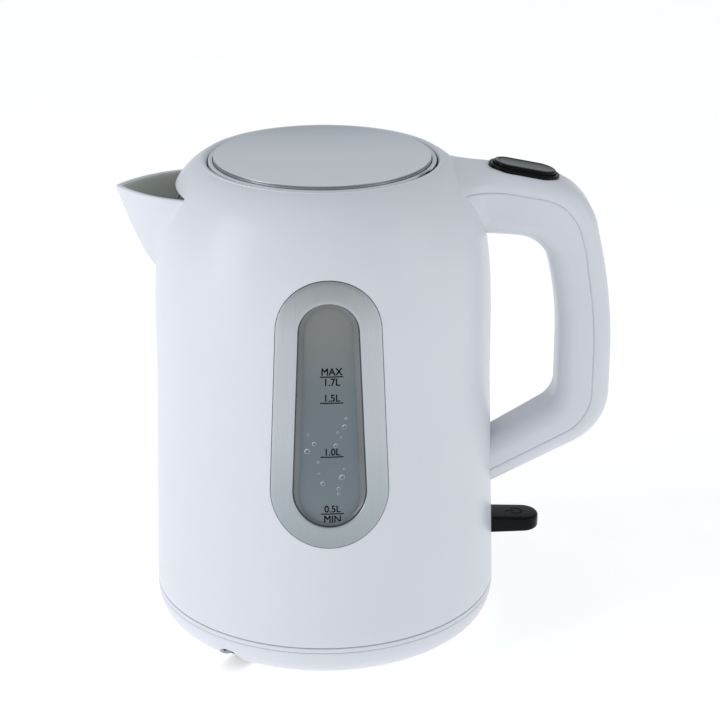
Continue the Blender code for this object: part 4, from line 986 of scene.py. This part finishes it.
def lid():
    """Steel disc, the ring that carries it with its hinge webs and tongue, and its underside."""
    r = LID_PLATE_R
    top = LID_TOP_Z
    disc = rounded([
        (0, top - 0.6, 0), (r - 0.6, top - 0.6, 0), (r - 0.6, 226.8, 0), (r, 226.8, 0.1),
        (r, 228.15, 0.1), (r - 0.9, 228.25, 0.05), (r - 0.9, 228.75, 0.05), (r, 228.85, 0.1),
        (r, top, 0.4), (0, top, 0),
    ], 6, closed=False)
    plate = piece("lid_disc", lathe(disc), DISC, "lid", ["lid_plate"], sharp=30.0)
    # Painted shade: the disc's upright side faces get the darker steel.
    second_finish(plate, DISC_SIDE_PAINTED_SHADE, lambda face: abs(face.normal.z) < 0.45)
    outline = rounded([
        (0, 225.8, 0), (47.6, 225.8, 0), (47.6, 214.0, 0.3), (50.0, 214.0, 0.5),
        (50.0, 224.4, 0.3), (LID_RING_R, 224.4, 0.4), (LID_RING_R, 228.0, 0.6),
        (50.2, 227.9, 0.3), (49.9, 226.5, 0), (48.9, 226.5, 0), (48.9, 228.7, 0.3),
        (0, 228.7, 0),
    ], 4, closed=False)
    x, z = LID_HINGE
    k = KNUCKLE_R
    thin_z = 227.3
    heel = [(50.1, 223.5), (54.0, 223.5), (54.0, thin_z), (50.1, thin_z)]
    under_disc = [(38.0, 227.2), (50.0, 227.2), (50.0, 228.95), (38.0, 228.95)]
    steps = [
        (block((42.0, -18.0, 205.0), (58.0, 18.0, thin_z)), CUT),
        (lathe(under_disc, 24, start=-24.0, turn=48.0), CUT),
        (lathe(heel, 48, start=-45.0, turn=90.0), CUT),
    ]
    bite = 1.05
    hollow_r = 60.0
    hollow_at = radians(30.5)
    away = LID_RING_R + hollow_r - bite
    for side in (-1, 1):
        middle = (away * cos(hollow_at), side * away * sin(hollow_at))
        steps.append((cylinder(hollow_r, 227.0, 229.6, middle, 240), CUT))
    for near, far in ((-13.0, -9.8), (9.8, 13.0)):
        web = [(41.0, z - k), (x, z - k)] + arc((x, z), k, -75, 90, 16) + [(41.0, z + k)]
        steps.append((plate_xz(web, near, far), JOIN))
    tongue = [(41.0, 226.0), (41.0, 219.5), (57.0, 219.5), (57.0, 221.2), (56.2, 222.0),
              (42.3, 222.0), (42.3, 226.0)]
    steps.append((plate_xz(tongue, -4.0, 4.0), JOIN))
    steps.append((rod_y((x, z), 1.45, -20.0, 20.0), CUT))
    piece("lid_ring", lathe(outline), WHITE, "lid", ["lid_frame"], steps=steps)
    under = rounded([(0, 214.2, 0), (47.3, 214.2, 0.5), (47.3, 216.0, 0), (0, 216.0, 0)], 4,
                    closed=False)
    steps = [(block((41.6, -18.0, 205.0), (58.0, 18.0, 228.95)), CUT)]
    for x in (-6.0, 0.0, 6.0):
        steps.append((block((x - 1.2, -9.0, 212.0), (x + 1.2, 9.0, 218.0)), CUT))
    piece("lid_underside", lathe(under), WHITE_INSIDE, "lid", ["lid_inner_cover"],
          steps=steps)
    lip = rounded([(50.7, 216.5, 0), (52.3, 216.9, 0.5), (52.3, 218.1, 0.5), (50.7, 218.5, 0)], 3)
    piece("lid_lip_seal", lathe(lip, 160, start=25.0, turn=310.0), SILICONE, "lid", ["lid_seal"])


# ---------------- button and switch

def button():
    """Black surround and a cap with a dished, satin top, its upward faces lighter in colour as a
    painted sheen.
    """
    surround = [(0.7, -2.0), (4.1, -2.0), (4.1, 0.55), (3.95, 0.85), (3.6, 1.05), (3.0, 1.15),
                (1.2, 1.15), (0.85, 1.05), (0.7, 0.85)]
    piece("button_surround", loft(oblong_rings(surround), closed=True), BLACK, "jug",
          ["button_bezel"], sharp=50.0)
    top = BUTTON_RISE
    levels = [(0.0, -1.4), (0.0, top - 1.0)]
    levels += [(-2 * (1 - cos(radians(a))) * 0.9, top - 1.0 + sin(radians(a)) * 0.9)
               for a in (20, 40, 60, 80)]
    levels += [(-2.6, top), (-3.4, top - 0.04), (-4.2, top - 0.25), (-5.4, top - 0.42),
               (-8.0, top - 0.55), (-11.0, top - 0.62)]
    cap = piece("button_cap", loft(oblong_rings(levels, 28)), BLACK, "lid_button", ["lid_button"],
                sharp=55.0)
    # Painted sheen: faces that look up get the lighter charcoal.
    second_finish(cap, CHARCOAL_PAINTED_SHEEN, lambda face: face.normal.z > 0.9)


def switch():
    """Paddle with a round tip on a knuckle, and the generic power symbol on its top."""
    x, z = SWITCH_PIVOT
    blade = SWITCH_TIP_X - x
    edge = 1.5
    tip_r = 7.0
    top_fall = 1.2
    low_rings = []
    high_rings = []
    for angle in (0, 18, 36, 54, 72, 90):
        inset = edge * (1 - cos(radians(angle)))
        rise = edge * sin(radians(angle))
        half = SWITCH_HALF_W - inset
        tip = [(x + blade - inset - tip_r + tip_r * cos(radians(a)), half * sin(radians(a)))
               for a in range(-90, 91, 6)]
        outline = [(x + 4.9, -half)] + tip + [(x + 4.9, half)]
        low_rings.append([(px, py, z - 3.4 - rise + 0.6 * (px - x) / blade) for px, py in outline])
        high_rings.append([(px, py, z + 2.6 + rise - top_fall * (px - x) / blade)
                           for px, py in outline])
    low_rings.reverse()
    barrel = rod_y((x, z), 3.0, -4.0, 4.0)
    arm = plate_xz([(x, z - 2.0), (x + 6.5, z - 2.0), (x + 6.5, z + 2.0), (x, z + 2.0)], -4.0, 4.0)
    pin = rod_y((x, z), 1.35, -6.0, 6.0)
    piece("switch_paddle", loft(low_rings + high_rings), BLACK, "power_switch", ["power_switch"],
          sharp=50.0,
          steps=[(barrel, JOIN), (arm, JOIN), (pin, CUT)])

    def top_at(px):
        return z + 2.6 + edge - top_fall * (px - x) / blade

    middle = 93.6
    rings = []
    for k in range(41):
        angle = radians(-145.0 + 290.0 * k / 40)
        ring = []
        for r, lift in ((2.4, -0.03), (2.45, 0.05), (3.2, 0.05), (3.25, -0.03)):
            px = middle + r * cos(angle)
            ring.append((px, r * sin(angle), top_at(px) + lift))
        rings.append(ring)
    piece("power_icon_ring", loft(rings), INK, "power_switch")
    bar = [(middle + px, y, top_at(middle + px) + 0.05)
           for px, y in ((-4.8, -0.4), (-0.9, -0.4), (-0.9, 0.4), (-4.8, 0.4))]
    foot = [(px, y, pz - 0.1) for px, y, pz in bar]
    piece("power_icon_bar", loft([foot, bar]), INK, "power_switch")


# ---------------- power base and underside

def tray_corner(steps):
    """The tray's bowed side, from its flat underside up to the seam."""
    bulge = 3.1
    height = 19.1
    points = []
    width = BASE_R - BASE_FLAT_R
    for i in range(steps + 1):
        angle = radians(90.0 - 90.0 * (i / steps) ** 1.25 * 0.98)
        points.append((BASE_FLAT_R + width * cos(angle) ** (2 / bulge),
                       BASE_FLOOR_Z + height - height * sin(angle) ** (2 / bulge)))
    return [p for p in points if p[1] < BASE_SEAM_Z - 1.1]


def arch(width, low, top, steps=24):
    """Outline (across, z) of a notch with a rounded head."""
    half = width / 2
    rise = 4.0
    angles = [radians(180.0 * i / steps) for i in range(steps + 1)]
    head = [(half * cos(a), top - rise + rise * sin(a)) for a in angles]
    return [(half, low)] + head + [(-half, low)]


def radial_prism(outline, near, far):
    """An outline (across, z) drawn out along the cord's direction."""
    ahead = Vector((cos(CORD_AZIMUTH), sin(CORD_AZIMUTH), 0.0))
    across = Vector((-sin(CORD_AZIMUTH), cos(CORD_AZIMUTH), 0.0))
    return loft([[tuple(ahead * r + across * a + Vector((0.0, 0.0, z))) for a, z in outline]
                 for r in (near, far)])


def screw_head(name, node, spot, low, head_r, shank_r, body):
    under_head = low + 1.0
    end = low + 9.0
    outline = rounded([(0, low, 0), (head_r, low, 0.35), (head_r, under_head, 0),
                       (shank_r, under_head, 0), (shank_r, end, 0), (0, end, 0)], 4, closed=False)
    x, y = spot
    bars = [(block((x - 1.5, y - 0.3, low - 1.0), (x + 1.5, y + 0.3, low + 0.6)), CUT),
            (block((x - 0.3, y - 1.5, low - 1.0), (x + 0.3, y + 1.5, low + 0.6)), CUT)]
    piece(name, lathe(outline, 40, spot), STEEL, body, [node], steps=bars)


def power_base():
    """Tray, top, connector tower, shutter ring, feet, screws and the cord's sleeve."""
    seam = BASE_SEAM_Z
    outline = [(0.0, BASE_FLOOR_Z)] + tray_corner(40)
    outline += [(BASE_R, seam - 0.4), (BASE_R - 0.07, seam - 0.22), (BASE_R - 0.25, seam - 0.12),
                (79.6, seam - 0.1), (79.4, 10.5), (75.8, 5.4), (69.0, 3.3), (0.0, 3.3)]
    steps = [(radial_prism(arch(12.0, -2.0, 10.5), 64.0, 86.0), CUT)]
    for degrees in FOOT_DEGREES:
        spot = on_circle(FOOT_CIRCLE_R, degrees)
        steps.append((cylinder(6.5, -1.0, 2.1, spot), CUT))
    for degrees in BASE_SCREW_DEGREES:
        spot = on_circle(BASE_SCREW_CIRCLE_R, degrees)
        well = [(0, -1), (3.4, -1), (3.4, 2.2), (2.0, 2.2), (2.0, 5), (0, 5)]
        steps.append((lathe(well, 40, spot), CUT))
    piece("base_lower", lathe(outline), WHITE, "power_base", ["base_tray"],
          steps=steps)
    top = BASE_TOP_Z
    outline = rounded([
        (17.4, 16.2, 0), (17.4, top - 0.3, 0.2), (77.2, top - 0.3, 0.6), (80.4, top, 0.6),
        (BASE_R, top, 0.45), (BASE_R, seam + 0.05, 0.25), (79.0, seam + 0.05, 0), (79.0, 13.6, 0),
        (77.2, 13.6, 0), (77.2, 16.2, 0),
    ], 5)
    piece("base_upper", lathe(outline), WHITE, "power_base", ["base_top_cover"])
    tower = rounded([
        (0, 12.2, 0), (24, 12.2, 0), (24, 15.6, 0), (17.0, 15.6, 0), (17.0, 30.0, 1.0),
        (13.6, 30.0, 0.3), (13.6, 17.0, 0), (10.6, 17.0, 0), (10.6, 29.0, 0.8), (2.6, 29.0, 0.5),
        (2.6, 15.2, 0), (0, 15.2, 0),
    ], 5, closed=False)
    piece("socket_tower", lathe(tower, 120), BLACK_SATIN, "power_base", ["base_socket"])
    ring = rounded([(10.9, 17.3, 0), (13.3, 17.3, 0), (13.3, 19.6, 0.4), (10.9, 19.6, 0.4)], 4)
    piece("shutter_ring", lathe(ring, 96), GREY, "socket_shutter", ["socket_shutter"])
    for i, degrees in enumerate(FOOT_DEGREES):
        spot = on_circle(FOOT_CIRCLE_R, degrees)
        foot = rounded([(0, 0, 0), (6.0, 0, 0.6), (6.0, 1.8, 0), (0, 1.8, 0)], 5, closed=False)
        piece(f"foot_{i + 1}", lathe(foot, 64, spot), RUBBER, "power_base",
              [f"base_foot_{i + 1}"])
    for i, degrees in enumerate(BASE_SCREW_DEGREES):
        spot = on_circle(BASE_SCREW_CIRCLE_R, degrees)
        screw_head(f"tray_screw_{i + 1}", f"base_screw_{i + 1}", spot, 0.8, 2.8, 1.4,
                   "power_base")
    width = 11.4
    outer = arch(width, 2.0, 10.2)
    inner = arch(width - 3.2, 2.0, 8.6)
    sleeve = radial_prism(outer + list(reversed(inner)), 64.5, 70.6)
    piece("cord_sleeve", sleeve, RUBBER, "power_base", ["cord_inlet_grommet"])


def jug_underside():
    """Bottom plate with its screws and the connector."""
    plate = rounded([
        (78.5, 20.0, 0.4), (78.5, 22.4, 0), (22.0, 22.4, 0), (22.0, 33.6, 0), (14.6, 33.6, 0),
        (14.6, 31.6, 0.3), (19.4, 31.6, 1.0), (19.4, 20.0, 0.6),
    ], 4)
    steps = []
    for degrees in JUG_SCREW_DEGREES:
        spot = on_circle(JUG_SCREW_CIRCLE_R, degrees)
        well = [(0, 18), (3.0, 18), (3.0, 21.5), (1.7, 21.5), (1.7, 24), (0, 24)]
        steps.append((lathe(well, 40, spot), CUT))
    piece("underside_plate", lathe(plate), WHITE, "jug", ["jug_bottom_cover"],
          steps=steps)
    for i, degrees in enumerate(JUG_SCREW_DEGREES):
        spot = on_circle(JUG_SCREW_CIRCLE_R, degrees)
        screw_head(f"underside_screw_{i + 1}", f"bottom_screw_{i + 1}", spot, 20.1, 2.5, 1.2,
                   "jug")
    plug = rounded([
        (0, 18.0, 0), (1.7, 18.0, 0.7), (2.2, 19.6, 0), (2.2, 34.0, 0), (11.0, 34.0, 0),
        (11.0, 20.0, 0.3), (13.2, 20.0, 0.3), (13.2, 34.0, 0), (18.0, 34.0, 0), (18.0, 37.0, 0),
        (0, 37.0, 0),
    ], 4, closed=False)
    piece("connector_plug", lathe(plug, 96), BLACK_SATIN, "jug", ["jug_connector"])


def jug_inside():
    """What shows through the mouth: floor, steam pipe and the filter's screen."""
    hole = cylinder(6.6, 50.0, 62.0, (STEAM_TUBE_X, 0.0))
    plate = [(0, 57.0), (77.0, 57.0), (77.0, 58.0), (0, 58.0)]
    piece("floor_plate", lathe(plate), PLATE, "jug", ["heating_plate"],
          steps=[(hole, CUT)])
    tube = rounded([(3.0, 44.5, 0), (4.5, 44.5, 0), (4.5, 199.0, 0.5), (3.0, 199.0, 0.4)], 4)
    piece("steam_pipe", lathe(tube, 48, (STEAM_TUBE_X, 0.0)), WHITE_INSIDE, "jug", ["steam_tube"])
    frame["nodes"]["spout_filter_mesh"].data.materials[0] = SCREEN


# ---------------- stage, lights and camera

def area_light(name, place, target, size, power, colour):
    data = bpy.data.lights.new(name, "AREA")
    data.shape = "RECTANGLE"
    data.size, data.size_y = size
    data.energy = power
    data.color = colour
    made = bpy.data.objects.new(name, data)
    bpy.context.scene.collection.objects.link(made)
    made.location = place
    made.rotation_euler = (Vector(target) - Vector(place)).to_track_quat("-Z", "Y").to_euler()


def studio():
    """Pale floor that glows a little, an even sky and two soft lights from the sides."""
    mesh = bmesh.new()
    bmesh.ops.create_grid(mesh, x_segments=2, y_segments=2, size=4.0)
    floor = raw_object("floor", mesh)
    floor.data.materials.append(moulded("pale_floor", (0.93, 0.93, 0.935), (0.95, 0.95, 0.95), 0.9,
                                        Emission_Color=(1.0, 1.0, 1.0, 1.0),
                                        Emission_Strength=0.42))
    world = bpy.data.worlds.new("studio")
    world.use_nodes = True
    sky = world.node_tree.nodes["Background"]
    sky.inputs["Color"].default_value = (0.93, 0.965, 1.0, 1.0)
    sky.inputs["Strength"].default_value = 0.60
    bpy.context.scene.world = world
    bpy.context.scene.view_settings.view_transform = "Standard"
    target = (0.0, 0.0, 0.12)
    area_light("key", (-1.75, -0.6, 0.6), target, (0.9, 1.4), 11.5, (0.94, 0.92, 1.0))
    area_light("fill", (1.6, -0.85, 0.6), target, (0.8, 1.2), 3.0, (0.90, 0.97, 1.0))


def camera():
    data = bpy.data.cameras.new("camera")
    data.lens = 103.4
    data.sensor_width = 36.0
    made = bpy.data.objects.new("camera", data)
    bpy.context.scene.collection.objects.link(made)
    made.location = at(-26.4, -910.7, 492.3)
    made.rotation_euler = (radians(68.23), 0.0, radians(-2.74))
    bpy.context.scene.camera = made


camera()
studio()
jug_body()
spout()
window()
litre_marks()
bubbles()
handle()
lid()
button()
switch()
power_base()
jug_underside()
jug_inside()
